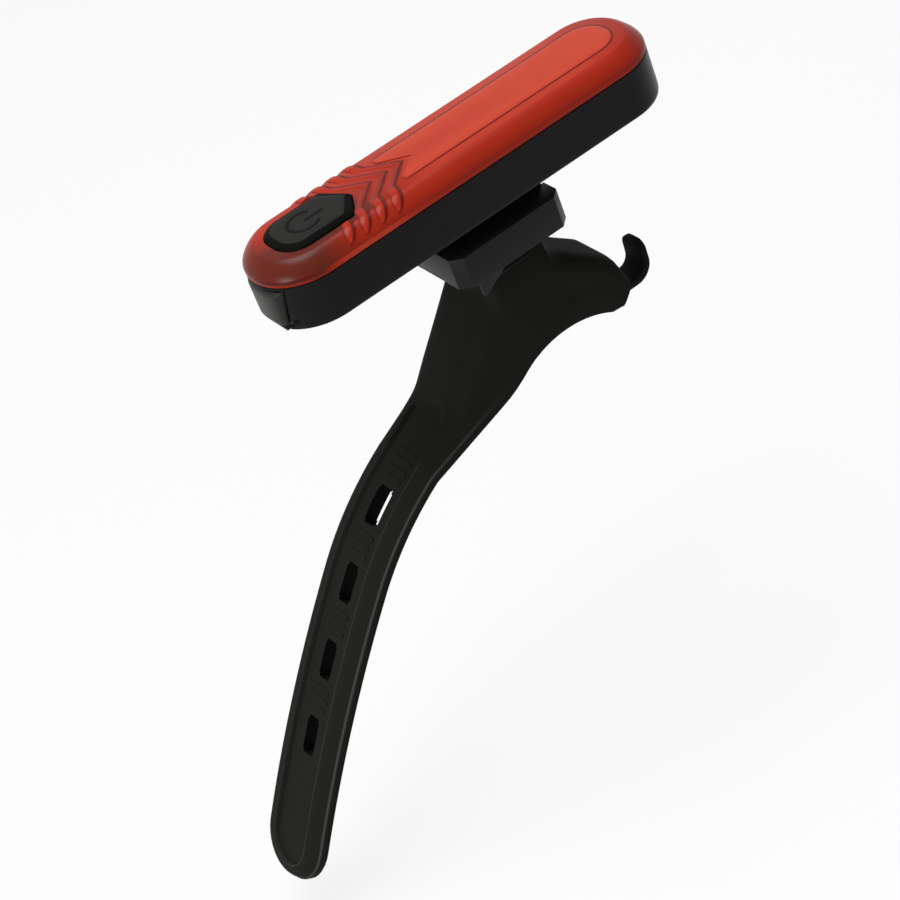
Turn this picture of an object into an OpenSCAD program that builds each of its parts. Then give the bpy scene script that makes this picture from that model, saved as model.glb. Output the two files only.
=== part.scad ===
// Bike rear light on a rubber strap mount.
// Millimetres. The post's axis is the Y axis. +X runs along the light, from its button end to its
// far end, and +Z points out of the lens.

/* [Post and saddle] */
// Diameter of the post that the cradle fits
post_d = 34.9; // [31:0.1:36]
// Rubber between the post and the shoe
saddle_h = 18.2; // [17:0.1:20]
// Length of the pedestal under the shoe
pedestal_len = 12; // [11:0.1:14]
// Height of the pedestal's upright part
pedestal_drop = 4.6; // [3.5:0.1:5.5]
// Length of the strap's shelf before the pedestal
shelf_len = 10.9; // [9:0.1:12]

/* [Strap] */
// Width of the strap
strap_w = 14.7; // [14:0.1:16]
// Thickness of the strap
strap_t = 3.4; // [3:0.1:3.8]
// Bevel along the strap's outer edges
strap_bevel = 1; // [0.5:0.1:1.2]
// Run of the neck from the cradle to the place where the strap bends
neck_run = 19.8; // [18:0.05:22]
// Drop of the neck over that run
neck_drop = 4.55; // [3.5:0.05:5]
// Slope of the strap where it bends
neck_slope = 29.2; // [25:0.1:32]
// Radius of the upper curve of the tail
tail_r1 = 59.5; // [54:0.5:66]
// Turn of the upper curve of the tail
tail_turn1 = 20.2; // [18:0.1:22]
// Radius of the lower curve of the tail
tail_r2 = 293; // [270:1:320]
// Turn of the lower curve of the tail
tail_turn2 = 9; // [8.6:0.1:10]
// Gap round the knuckle where the strap bends
knuckle_gap = 0.15; // [0.1:0.01:0.25]
// Width of the channel along the tail
channel_w = 9.5; // [8.5:0.1:10]
// Depth of the channel
channel_d = 0.8; // [0.5:0.1:1]
// Length of each strap slot
slot_len = 6.6; // [6:0.1:7]
// Width of the first strap slot at its ends
slot_w = 5; // [4.6:0.1:5.4]
// How much narrower the other slots are
slot_taper = 1; // [0:0.1:1.2]
// How much narrower a slot is at its waist
slot_nip = 1; // [0.6:0.1:1.4]
// Spacing of the slots along the strap
slot_pitch = 13.45; // [12:0.05:13.8]
// Number of slots
slot_count = 4; // [3:1:4]
// From the bend to the first slot
slot_start = 8.25; // [7:0.05:8.6]

/* [Hook] */
// Outer radius of the hook finger's curl
hook_r = 4.4; // [4.3:0.1:5]
// Thickness of the hook finger
hook_t = 1.5; // [1.3:0.1:1.6]
// Width of the hook finger
hook_w = 5.4; // [4.6:0.1:6]
// Angle at which the hook finger's tip ends
hook_tip_a = 52; // [30:1:70]
// Thickness of the wing that carries the hook
wing_t = 8.8; // [8:0.1:9.4]
// Width of the grip toes that lengthen the cradle
toe_w = 3; // [2:0.1:6]

/* [Shoe] */
// Length of the shoe
shoe_len = 21.6; // [20.8:0.1:24]
// Place of the shoe's middle along X, measured from the light's middle
shoe_shift = 1.2; // [0:0.1:2]
// Width of the shoe
shoe_w = 18; // [17.8:0.1:20]
// Height of the shoe
shoe_h = 5.6; // [5.6:0.1:7]
// Chamfer on the shoe's upright corners
shoe_chamfer = 1.8; // [1:0.1:2.2]
// Floor of the shoe under the slide slot
shoe_floor = 1.6; // [1.4:0.1:1.8]
// End wall that stops the slide
shoe_stop = 2; // [1.6:0.1:2.6]
// Length of the triangular fins under the shoe
fin_len = 5.2; // [4:0.1:6]
// Depth of the triangular fins under the shoe
fin_h = 2.9; // [2:0.1:3.2]

/* [Slide foot] */
// Width of the foot's neck
neck_w = 7; // [6:0.1:8]
// Width of the foot's flange
flange_w = 11; // [10:0.1:12]
// Thickness of the foot's flange
flange_t = 2; // [1.6:0.1:2.2]
// Gap between the shoe and the housing's back
foot_gap = 3.6; // [3:0.1:4.5]
// Clearance of the foot in the shoe, on each side
slide_clear = 0.25; // [0.2:0.01:0.35]

/* [Light body] */
// Length of the light
light_len = 75; // [74:0.5:80]
// Width of the light
light_w = 18.6; // [18.2:0.1:20]
// Corner radius of the light, seen from the front
end_r = 8.75; // [8.4:0.05:9]
// Place of the light's middle along X, measured from the post
light_x = -5.4; // [-7:0.1:-4]
// Height of the housing's wall
housing_h = 8; // [8:0.1:9.5]
// Thickness of the housing's floor
floor_t = 1.4; // [1.2:0.1:1.6]
// Thickness of the housing's wall
wall_t = 2.2; // [2:0.1:2.3]
// Thin upper wall beside the lens lip
rim_t = 1.2; // [1:0.05:1.3]

/* [Lens] */
// Height of the lens above the seam
lens_h = 3.6; // [3.5:0.1:4.4]
// Upright band of the lens at the seam
lens_band = 0.9; // [0.6:0.1:1.2]
// How far the crown stands in from the side
crown_inset = 2.5; // [2:0.1:2.8]
// Wall of the lens
lens_wall = 1.3; // [1.1:0.1:1.4]
// Depth of the lip inside the housing
lip_h = 1.2; // [1:0.1:1.4]
// Height of the chevron ridges
chevron_h = 0.4; // [0.2:0.05:0.5]
// Spacing of the chevron ridges
chevron_pitch = 3.05; // [2.8:0.05:3.2]
// Width of a chevron ridge along X
chevron_t = 1.1; // [0.8:0.1:1.4]
// Reach of a chevron's legs to each side
chevron_reach = 5; // [4:0.1:5.5]
// Number of chevrons
chevron_count = 4; // [3:1:4]
// Length of the window panel
window_len = 39; // [34:0.5:40]
// Width of the window panel
window_w = 10; // [9:0.1:10.4]

/* [Button] */
// Length of the button
button_len = 15; // [14:0.1:15.4]
// Width of the button
button_w = 10; // [9:0.1:10.4]
// Height of the button above the crown
button_proud = 0.8; // [0.5:0.1:1.2]
// Gap round the button
button_clear = 0.25; // [0.15:0.01:0.4]
// Distance of the button from the light's end
button_edge = 4.6; // [4.4:0.1:5.2]
// Travel of the button
button_travel = 0.35; // [0.2:0.05:0.4]

/* [Charging port] */
// Width of the port flap
flap_w = 12; // [11:0.1:12.6]
// Thickness of the port flap
flap_t = 0.8; // [0.6:0.05:0.9]
// Gap round and behind the port flap
flap_gap = 0.15; // [0.1:0.01:0.2]
// How far the port flap stands out of the housing's end
flap_proud = 0.15; // [0.05:0.01:0.4]
// Width of the charging socket
usb_w = 7.6; // [7.4:0.1:8]
// Height of the charging socket
usb_h = 2.7; // [2.5:0.1:3]
// Depth of the charging socket
usb_len = 5.6; // [5:0.1:6]

/* [Inside] */
// Thickness of the circuit board
board_t = 0.8; // [0.6:0.1:1]
// Distance of the circuit board from each end of the light
board_edge = 3.5; // [3:0.1:4]
// Thickness of the battery
battery_t = 3.7; // [3:0.1:3.8]
// Length of the battery
battery_len = 32; // [28:0.5:36]
// Width of the battery
battery_w = 12; // [10:0.1:12.6]
// Number of light-emitting chips
led_count = 12; // [8:1:14]

/* [Hidden] */
$fn = 64;
cut = 1;
seat = 0.05;

// Heights of the stack, from the post outwards
post_r = post_d / 2;
shoe_z0 = post_r + saddle_h;
shoe_z1 = shoe_z0 + shoe_h;
back_z = shoe_z1 + foot_gap;
seam_z = back_z + housing_h;
floor_z = back_z + floor_t;
crown_z = seam_z + lens_h;
crown_in_z = crown_z - lens_wall;
seal_t = 0.5;
ledge_z = seam_z - lip_h - seal_t;

// Heights inside the housing
board_drop = 1.1;
board_z1 = seam_z - board_drop;
board_z0 = board_z1 - board_t;
pad_t = 0.4;
diffuser_t = 1;
diffuser_gap = 0.2;
diffuser_z1 = crown_in_z - diffuser_gap;
diffuser_z0 = diffuser_z1 - diffuser_t;

// Slide foot and its slot
flange_z0 = shoe_z0 + shoe_floor + slide_clear;
flange_z1 = flange_z0 + flange_t;
shoe_x0 = light_x + shoe_shift - shoe_len / 2;
shoe_x1 = shoe_x0 + shoe_len;
foot_x0 = shoe_x0 + shoe_stop + slide_clear;
foot_x1 = shoe_x1 - 0.4;

// Ends of the light and of what sits behind its wall
end_x = light_x - light_len / 2;
button_x0 = end_x + button_edge;
button_x1 = button_x0 + button_len;
switch_x = button_x0 + button_len / 2;
window_edge = 4.3;
window_x1 = light_x + light_len / 2 - window_edge;
window_x0 = window_x1 - window_len;

// Where the strap leaves the cradle, and where it bends
leave_a = 131;
leave_p = polar(post_r, leave_a);
bend_p = leave_p - [neck_run, neck_drop];
outer_p = bend_p + strap_t / 2 * heading_left(neck_slope);
inner_p = bend_p - strap_t / 2 * heading_left(neck_slope);
slope2 = neck_slope + tail_turn1;
tail_c1 = bend_p - tail_r1 * heading_left(neck_slope);
joint_p = tail_c1 + tail_r1 * heading_left(slope2);
tail_c2 = joint_p - tail_r2 * heading_left(slope2);
tail_run1 = tail_r1 * tail_turn1 * PI / 180;
tail_len = tail_run1 + tail_r2 * tail_turn2 * PI / 180;

// Hook finger
hook_p = polar(post_r + 6.5, 44.6);
hook_mid = hook_r - hook_t / 2;

function polar(r, a) = r * [cos(a), sin(a)];
// Outward normal of a strap that runs down to the left at the given slope
function heading_left(slope) = [-sin(slope), cos(slope)];
function unit(v) = v / norm(v);

// Points of an arc of radius r that rounds the corner q between p and s
function corner(p, q, s, r, steps = 10) =
    let (u = unit(p - q), w = unit(s - q), half = acos(u * w) / 2)
    let (c = q + unit(u + w) * r / sin(half), a = q + u * r / tan(half), b = q + w * r / tan(half))
    let (a0 = atan2(a[1] - c[1], a[0] - c[0]), a1 = atan2(b[1] - c[1], b[0] - c[0]))
    let (sweep = (a1 - a0 + 540) % 360 - 180)
    r == 0 ? [q] : [for (i = [0:steps]) c + polar(r, a0 + sweep * i / steps)];

// Outline through the points, each corner rounded by its radius
function rounded(points, radii) =
    let (n = len(points))
    [for (i = [0:n - 1]) each corner(points[(i + n - 1) % n], points[i], points[(i + 1) % n], radii[i])];

// The light's outline from the front, drawn in by an inset
module plan(inset) {
    l = light_len - 2 * inset;
    w = light_w - 2 * inset;
    r = end_r - inset;
    translate([light_x, 0]) {
        square([l - 2 * r, w], center = true);
        square([l, w - 2 * r], center = true);
        for (sx = [-1, 1], sy = [-1, 1])
            translate([sx * (l / 2 - r), sy * (w / 2 - r)]) circle(r);
    }
}

module slab(inset, z0, z1) {
    translate([0, 0, z0]) linear_extrude(z1 - z0) plan(inset);
}

module ring(inset_out, inset_in, z0, z1) {
    difference() {
        slab(inset_out, z0, z1);
        slab(inset_in, z0 - cut, z1 + cut);
    }
}

// Box between two corners
module block(low, high) {
    translate(low) cube(high - low);
}

// Round-ended panel along X, centred on Y
module lozenge(x0, x1, w, z0, z1) {
    block([x0 + w / 2, -w / 2, z0], [x1 - w / 2, w / 2, z1]);
    for (x = [x0 + w / 2, x1 - w / 2]) translate([x, 0, z0]) cylinder(d = w, h = z1 - z0);
}

// Extrusion across the strap of an outline drawn in X and Z
module across(width) {
    rotate([90, 0, 0]) linear_extrude(width, center = true) children();
}

// Rod across the strap
module rod(p, r, width) {
    translate([p[0], 0, p[1]]) rotate([90, 0, 0]) cylinder(r = r, h = width, center = true);
}

// Shield outline of the button: round at the end, pointed towards the window
module shield(grow) {
    w = button_w / 2 + grow;
    x0 = button_x0 - grow;
    x1 = button_x1 + grow;
    point = 2.9;
    polygon(rounded([[x0, -w], [x1 - point, -w], [x1, 0], [x1 - point, w], [x0, w]],
        [4 + grow, 1.2 + grow, 0.8 + grow, 1.2 + grow, 4 + grow]));
}

module shield_block(grow, z0, z1) {
    translate([0, 0, z0]) linear_extrude(z1 - z0) shield(grow);
}

// One board screw stands between the button and the window, the other past the reflector tray
screw_d = 1.6;
screw_len = 4;
screw_head_d = 2.8;
screw_head_h = 0.9;
screw_gap = 0.8;
boss_d = 3.8;
tray_end = 3.4;
tray_x1 = window_x1 - tray_end;
screw_x0 = (button_x1 + window_x0) / 2;
screw_x1 = tray_x1 + screw_head_d / 2 + screw_gap;
screw_xs = [screw_x0, screw_x1];

port_z = board_z0 - usb_h / 2;
port_clear = 0.65;
flap_z0 = back_z + 0.5;
flap_z1 = seam_z - 0.9;
flap_in = flap_t - flap_proud;
flap_lift = 0.45;
hinge_x = end_x - flap_proud + flap_t / 2;
peg_d = 2.4;
peg_x = end_x + 5.2;
peg_clear = 0.1;

module slide_foot() {
    block([foot_x0, -neck_w / 2, flange_z1 - seat], [foot_x1, neck_w / 2, back_z + seat]);
    block([foot_x0, -flange_w / 2, flange_z0], [foot_x1, flange_w / 2, flange_z1]);
}

module housing() color("#17181a") {
    difference() {
        union() {
            slab(0, back_z, seam_z);
            slide_foot();
        }
        slab(wall_t, floor_z, seam_z + cut);
        slab(rim_t, ledge_z, seam_z + cut);
        block([end_x - cut, -usb_w / 2 - port_clear, port_z - usb_h / 2 - port_clear],
            [end_x + wall_t + cut, usb_w / 2 + port_clear, port_z + usb_h / 2 + port_clear]);
        translate([peg_x, 0, back_z - cut]) cylinder(d = peg_d + 2 * peg_clear, h = floor_t + 2 * cut);
        intersection() {
            ring(-cut, flap_in + flap_gap, back_z - cut, flap_z1 + flap_lift);
            translate([end_x, 0, seam_z]) cube([end_r, flap_w + 2 * flap_gap, 4 * housing_h], center = true);
        }
    }
    for (x = screw_xs) translate([x, 0, floor_z - seat]) difference() {
        cylinder(d = boss_d, h = board_z0 - floor_z + seat);
        translate([0, 0, board_z0 - floor_z - screw_len])
            cylinder(d = screw_d + 2 * seat, h = screw_len + cut);
    }
}

lip_clear = 0.1;
lip_in = wall_t;

module lens_outside() {
    hull($fn = 40) {
        slab(0, seam_z, seam_z + lens_band);
        slab(crown_inset * 0.2, seam_z, seam_z + lens_h * 0.56);
        slab(crown_inset * 0.54, seam_z, seam_z + lens_h * 0.83);
        slab(crown_inset, seam_z, crown_z);
    }
}

module lens_hollow() {
    hull($fn = 40) {
        slab(lip_in, seam_z - lip_clear, seam_z + lens_band / 2);
        slab(crown_inset + lens_wall, seam_z, crown_in_z);
    }
}

// A V-shaped ridge whose point looks at the far end
module chevron(x) {
    low = crown_z - lens_wall / 2;
    translate([0, 0, low]) linear_extrude(crown_z + chevron_h - low)
        polygon([[x, 0], [x - chevron_reach, chevron_reach], [x - chevron_reach - chevron_t, chevron_reach],
            [x - chevron_t, 0], [x - chevron_reach - chevron_t, -chevron_reach],
            [x - chevron_reach, -chevron_reach]]);
}

module lens() color("#c8321e") {
    difference() {
        union() {
            lens_outside();
            for (i = [0:chevron_count - 1]) chevron(button_x1 + 1.1 + chevron_pitch * i);
        }
        lens_hollow();
        shield_block(button_clear, seam_z, crown_z + cut);
    }
    ring(rim_t + lip_clear, lip_in, seam_z - lip_h, seam_z + seat);
}

module lens_seal() color("#2a2a2c") {
    ring(rim_t + lip_clear, lip_in, ledge_z, ledge_z + seal_t);
}

module diffuser() color("#e0503a") {
    lozenge(window_x0, window_x1, window_w, diffuser_z0, diffuser_z1);
}

module reflector_tray() color("#f2f2ee") {
    tray_wall = 1.1;
    difference() {
        lozenge(window_x0, tray_x1, window_w, board_z1, diffuser_z0);
        lozenge(window_x0 + tray_wall, tray_x1 - tray_wall, window_w - 2 * tray_wall,
            board_z1 - cut, diffuser_z0 + cut);
    }
}

strip_t = 0.5;
strip_w = 3.4;
strip_end = 2.6;
strip_x0 = window_x0 + strip_end;
strip_x1 = tray_x1 - strip_end;
led_w = 1.6;
led_h = 0.6;

module led_strip() color("#f5f0d8") {
    block([strip_x0, -strip_w / 2, board_z1], [strip_x1, strip_w / 2, board_z1 + strip_t]);
}

module led_chips() color("#ffd84a") {
    pitch = (strip_x1 - strip_x0) / led_count;
    for (i = [0:led_count - 1]) translate([strip_x0 + pitch * (i + 0.5), 0, board_z1 + strip_t + led_h / 2])
        cube([led_w, led_w, led_h], center = true);
}

module circuit_board() color("#1f5a34") {
    board_gap = 0.4;
    difference() {
        intersection() {
            slab(wall_t + board_gap, board_z0, board_z1);
            translate([light_x, 0, board_z0])
                cube([light_len - 2 * board_edge, light_w, 3 * board_t], center = true);
        }
        for (x = screw_xs) translate([x, 0, board_z0 - cut])
            cylinder(d = screw_d + 0.2, h = board_t + 2 * cut);
    }
}

module board_screws() color("#b8bcc0") {
    for (x = screw_xs) translate([x, 0, board_z1]) {
        cylinder(d = screw_head_d, h = screw_head_h);
        translate([0, 0, 0.4 - board_t - screw_len]) cylinder(d = screw_d, h = board_t + screw_len);
    }
}

module control_chips() color("#202024") {
    chip_t = 0.9;
    chip_w = 4;
    for (x = [switch_x - 1.5, switch_x + 4.5])
        block([x - chip_w / 2, -chip_w / 2, board_z0 - chip_t], [x + chip_w / 2, chip_w / 2, board_z0]);
}

module charge_led() color("#d8f0d0") {
    translate([screw_x0, light_w / 4, board_z1 + led_h / 2]) cube([led_w, led_w / 2, led_h], center = true);
}

switch_w = 5.2;
switch_h = 1.5;
plunger_d = 2.6;
plunger_h = 0.4;
plunger_depth = 0.9;
plunger_room = button_travel + 0.1;

module tact_switch() color("#3a3c40") {
    difference() {
        translate([switch_x, 0, board_z1 + switch_h / 2]) cube([switch_w, switch_w, switch_h], center = true);
        translate([switch_x, 0, board_z1 + switch_h - plunger_depth - plunger_room])
            cylinder(d = plunger_d + 0.16, h = plunger_depth + plunger_room + cut);
    }
}

module switch_plunger() color("#e8e6e0") {
    translate([switch_x, 0, board_z1 + switch_h - plunger_depth])
        cylinder(d = plunger_d, h = plunger_depth + plunger_h);
}

flange_grow = 0.7;
button_flange_t = 0.8;
button_flange_z1 = crown_in_z - 0.3;

module button() color("#1b1b1c") {
    stem_d = 4.4;
    stem_z = board_z1 + switch_h + plunger_h;
    shield_block(0, button_flange_z1 - button_flange_t, crown_z + button_proud);
    shield_block(flange_grow, button_flange_z1 - button_flange_t, button_flange_z1);
    translate([switch_x, 0, stem_z]) cylinder(d = stem_d, h = button_flange_z1 - stem_z);
}

usb_wall = 0.3;
usb_x0 = end_x + wall_t - 0.6;

module usb_socket() color("#c4c6c8") {
    low = [usb_x0, -usb_w / 2, board_z0 - usb_h];
    high = [usb_x0 + usb_len, usb_w / 2, board_z0];
    inner = [0, usb_wall, usb_wall];
    difference() {
        block(low, high);
        block(low + inner - [cut, 0, 0], high - inner - [usb_wall, 0, 0]);
    }
}

module usb_tongue() color("#2c2c2e") {
    tongue_w = usb_w * 0.55;
    tongue_t = 0.8;
    block([usb_x0 + 1, -tongue_w / 2, port_z - tongue_t / 2],
        [usb_x0 + usb_len - usb_wall, tongue_w / 2, port_z + tongue_t / 2]);
}

module port_cover() color("#3b3c3d") {
    plug_depth = 1.2;
    plug_in = 0.6;
    intersection() {
        ring(-flap_proud, flap_in, flap_z0, flap_z1);
        translate([end_x, 0, seam_z]) cube([end_r, flap_w, 4 * housing_h], center = true);
    }
    block([hinge_x, -usb_w / 2 + plug_in / 2, port_z - usb_h / 2 + plug_in / 2],
        [end_x + plug_depth, usb_w / 2 - plug_in / 2, port_z + usb_h / 2 - plug_in / 2]);
    rod([hinge_x, flap_z0], flap_t / 2, flap_w / 4);
}

module cover_tether() color("#2b2c2d") {
    strip_h = 0.6;
    strip_half = 3;
    block([end_x + flap_t, -strip_half, back_z - strip_h], [peg_x + strip_half, strip_half, back_z]);
    translate([peg_x, 0, back_z - strip_h]) cylinder(d = peg_d, h = strip_h + floor_t + seat);
    translate([peg_x, 0, floor_z]) cylinder(d = peg_d + 1, h = 0.5);
}

battery_gap = 1.8;
battery_x0 = screw_x0 + boss_d / 2 + battery_gap;
battery_z0 = floor_z + pad_t;

module battery() color("#b9bdc4") {
    block([battery_x0, -battery_w / 2, battery_z0],
        [battery_x0 + battery_len, battery_w / 2, battery_z0 + battery_t]);
}

module battery_pad() color("#e8e4d4") {
    pad_in = 1;
    block([battery_x0 + pad_in, -battery_w / 2 + pad_in, floor_z],
        [battery_x0 + battery_len - pad_in, battery_w / 2 - pad_in, battery_z0]);
}

module battery_leads() color("#c02020") {
    lead_d = 0.9;
    lead_run = 3.2;
    lead_z = battery_z0 + battery_t * 0.6;
    for (sy = [-1, 1]) translate([battery_x0, sy * battery_w / 3.4, lead_z]) {
        rotate([0, -90, 0]) cylinder(d = lead_d, h = lead_run);
        translate([-lead_run, 0, 0]) sphere(d = lead_d);
        translate([-lead_run, 0, 0]) cylinder(d = lead_d, h = board_z0 - lead_z);
    }
}

// Screws through the shoe's floor into the plate inside the pedestal
shoe_screw_d = 2;
shoe_screw_y = 3;
shoe_screw_head = 3.4;
plate_t = 1.5;
plate_len = pedestal_len - 3;
plate_w = 11;
plate_z1 = shoe_z0 - 3;
pedestal_x = light_x + 1.3;

module at_shoe_screws(z) {
    for (sy = [-1, 1]) translate([pedestal_x, sy * shoe_screw_y, z]) children();
}

module shoe_screws() color("#8f9296") {
    at_shoe_screws(plate_z1 - plate_t)
        cylinder(d = shoe_screw_d, h = shoe_z0 + shoe_floor - plate_z1 + plate_t);
    at_shoe_screws(shoe_z0 + shoe_floor - 0.8) cylinder(d = shoe_screw_head, h = 0.8);
}

module anchor_plate() color("#2a2b2d") {
    difference() {
        block([pedestal_x - plate_len / 2, -plate_w / 2, plate_z1 - plate_t],
            [pedestal_x + plate_len / 2, plate_w / 2, plate_z1]);
        at_shoe_screws(plate_z1 - plate_t - cut) cylinder(d = shoe_screw_d + 2 * seat, h = plate_t + 2 * cut);
    }
}

module bracket_shoe() color("#222325") {
    x0 = shoe_x0;
    x1 = shoe_x1;
    w = shoe_w / 2;
    c = shoe_chamfer;
    slot_x0 = x0 + shoe_stop;
    slot_z0 = shoe_z0 + shoe_floor;
    difference() {
        translate([0, 0, shoe_z0]) linear_extrude(shoe_h)
            polygon([[x0 + c, -w], [x1 - c, -w], [x1, c - w], [x1, w - c], [x1 - c, w], [x0 + c, w],
                [x0, w - c], [x0, c - w]]);
        block([slot_x0, -flange_w / 2 - slide_clear, slot_z0],
            [x1 + cut, flange_w / 2 + slide_clear, flange_z1 + slide_clear]);
        block([slot_x0, -neck_w / 2 - slide_clear, slot_z0],
            [x1 + cut, neck_w / 2 + slide_clear, shoe_z1 + cut]);
        at_shoe_screws(shoe_z0 - cut) cylinder(d = shoe_screw_d + 2 * seat, h = shoe_floor + 2 * cut);
        at_shoe_screws(slot_z0 - 0.8) cylinder(d = shoe_screw_head + 2 * seat, h = 0.8 + cut);
    }
    fin_x = shoe_x0 + 3.2;
    fin_t = 1;
    for (sy = [-1, 1]) translate([0, sy * (w - 0.3 - fin_t / 2), 0]) across(fin_t)
        polygon([[fin_x, shoe_z0 + seat], [fin_x + fin_len, shoe_z0 + seat], [fin_x + fin_len, shoe_z0],
            [fin_x + 0.2, shoe_z0 - fin_h], [fin_x, shoe_z0 - fin_h]]);
}

// Side view of the pedestal, the neck of the strap and the wing
module saddle_outline() {
    foot0 = [pedestal_x - pedestal_len / 2, shoe_z0];
    foot1 = [pedestal_x + pedestal_len / 2, shoe_z0];
    shelf_p = outer_p + shelf_len * [cos(neck_slope), sin(neck_slope)];
    wing_top = polar(post_r + wing_t, 61);
    wing_end = polar(post_r + 4.9, 51.3);
    wing_low = polar(post_r + 1.3, 52.6);
    polygon(rounded(
        [foot0, foot0 - [0, pedestal_drop], shelf_p, outer_p, inner_p, polar(post_r - 1, leave_a - 6),
            polar(post_r - 2, 56), wing_low, wing_end, wing_top, foot1 - [0, pedestal_drop], foot1],
        [0, 5, 8, 0, 0, 0, 0, 0.5, 1.2, 0.8, 8, 0]));
}

// Small toes under the neck and under the hook lengthen the cradle's grip
module toe_outlines() {
    polygon([polar(post_r - 2, 132), polar(post_r - 1, 151), polar(post_r + 0.9, 151.5),
        inner_p + 13.2 * unit(leave_p - inner_p), leave_p + [0, 1]]);
    polygon([polar(post_r - 1, 58), polar(post_r - 2, 41), polar(post_r + 0.4, 41),
        hook_p + polar(hook_mid, -86), hook_p + polar(hook_mid, -140), polar(post_r + 2, 56)]);
}

// Side view of the curled hook finger, with a round tip
module hook_outline() {
    root_a = -150;
    steps = 28;
    turn = (hook_tip_a - root_a) / steps;
    tip = hook_p + polar(hook_mid, hook_tip_a);
    polygon(concat([for (i = [0:steps]) hook_p + polar(hook_r, root_a + turn * i)],
        [for (i = [1:7]) tip + polar(hook_t / 2, hook_tip_a + 22.5 * i)],
        [for (i = [0:steps]) hook_p + polar(hook_r - hook_t, hook_tip_a - turn * i)]));
}

module strap_saddle() color("#1c1c1d") {
    difference() {
        union() {
            across(strap_w) saddle_outline();
            across(toe_w) toe_outlines();
            across(hook_w) hook_outline();
        }
        rod([0, 0], post_r, strap_w + 2 * cut);
        rod(bend_p, strap_t / 2 + knuckle_gap, strap_w + 2 * cut);
        translate([bend_p[0], 0, bend_p[1]]) rotate([0, -neck_slope, 0])
            block([-strap_t, -strap_w, -strap_t], [strap_t * 0.5, strap_w, -strap_t * 0.15]);
        translate([bend_p[0], 0, bend_p[1]]) rotate([0, -neck_slope, 0])
            block([0, -channel_w / 2, strap_t / 2 - channel_d], [shelf_len - 2, channel_w / 2, strap_t]);
        block([pedestal_x - plate_len / 2 - seat, -plate_w / 2 - seat, plate_z1 - plate_t - seat],
            [pedestal_x + plate_len / 2 + seat, plate_w / 2 + seat, plate_z1 + seat]);
        at_shoe_screws(plate_z1) cylinder(d = shoe_screw_d + 2 * seat, h = shoe_z0 - plate_z1 + cut);
    }
}

// Slope of the strap at a distance along the tail
function tail_slope(s) =
    s < tail_run1 ? neck_slope + s / tail_r1 * 180 / PI : slope2 + (s - tail_run1) / tail_r2 * 180 / PI;

// Point at a distance along the tail and an offset out of its middle
function tail_at(s, off) =
    s < tail_run1 ? tail_c1 + (tail_r1 + off) * heading_left(tail_slope(s))
        : tail_c2 + (tail_r2 + off) * heading_left(tail_slope(s));

// Length of strap between two distances and two offsets
module strip(width, s0, s1, low, high, steps = 20) {
    across(width) polygon(concat([for (i = [0:steps]) tail_at(s0 + (s1 - s0) * i / steps, high)],
        [for (i = [0:steps]) tail_at(s1 - (s1 - s0) * i / steps, low)]));
}

// Moves its children to a distance along the tail, with Z pointing out of the strap
module along_tail(s) {
    p = tail_at(s, 0);
    translate([p[0], 0, p[1]]) rotate([0, -tail_slope(s), 0]) children();
}

module slot(w) {
    end_len = slot_len * 0.3;
    cube([slot_len, w - slot_nip, 2 * strap_t], center = true);
    for (sx = [-1, 1]) translate([sx * (slot_len - end_len) / 2, 0, 0])
        cube([end_len, w, 2 * strap_t], center = true);
}

// What is cut off round the end of the strap
module tip_waste() {
    translate([0, 0, -2 * strap_t]) linear_extrude(4 * strap_t) difference() {
        translate([-strap_w, -strap_w]) square([strap_w, 2 * strap_w]);
        circle(d = strap_w);
    }
}

module strap_tail() color("#1c1c1d") {
    t = strap_t / 2;
    rib_w = 0.7;
    rib_pitch = 1.6;
    difference() {
        union() {
            strip(strap_w, 0, tail_len + strap_w / 2, -t, t - strap_bevel);
            strip(strap_w - strap_bevel, 0, tail_len + strap_w / 2, 0, t - strap_bevel / 2);
            strip(strap_w - 2 * strap_bevel, 0, tail_len + strap_w / 2, 0, t);
            rod(bend_p, t, strap_w);
        }
        strip(channel_w, -strap_t, tail_len + channel_w / 4, t - channel_d, strap_t);
        for (i = [0:slot_count - 1]) along_tail(slot_start + slot_pitch * i)
            slot(slot_w - min(i, 1) * slot_taper);
        along_tail(tail_len) tip_waste();
    }
    for (i = [0:slot_count - 2], k = [-1, 0, 1])
        along_tail(slot_start + slot_pitch * (i + 0.5) + rib_pitch * k)
            translate([-rib_w / 2, -channel_w / 2 - seat, 0])
                cube([rib_w, channel_w + 2 * seat, t - channel_d / 3]);
}

housing();
lens();
lens_seal();
diffuser();
reflector_tray();
led_strip();
led_chips();
circuit_board();
board_screws();
control_chips();
charge_led();
tact_switch();
switch_plunger();
button();
usb_socket();
usb_tongue();
port_cover();
cover_tether();
battery();
battery_pad();
battery_leads();
bracket_shoe();
anchor_plate();
shoe_screws();
strap_saddle();
strap_tail();
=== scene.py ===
# %% [markdown]
# # Bike rear light on a rubber strap
# A slim red rear light slides on a shoe, and the shoe is screwed to a rubber strap that grips a seat
# post. The CAD part gives the frame: bodies, joints and the pieces inside. Here each piece that shows
# is made again with the soft edges, ridges and ribs of the real one, and rides on its CAD body.

# %% Load the frame
import math
import bmesh
import bpy
from mathutils import Matrix, Vector
from mathutils.geometry import interpolate_bezier


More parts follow.
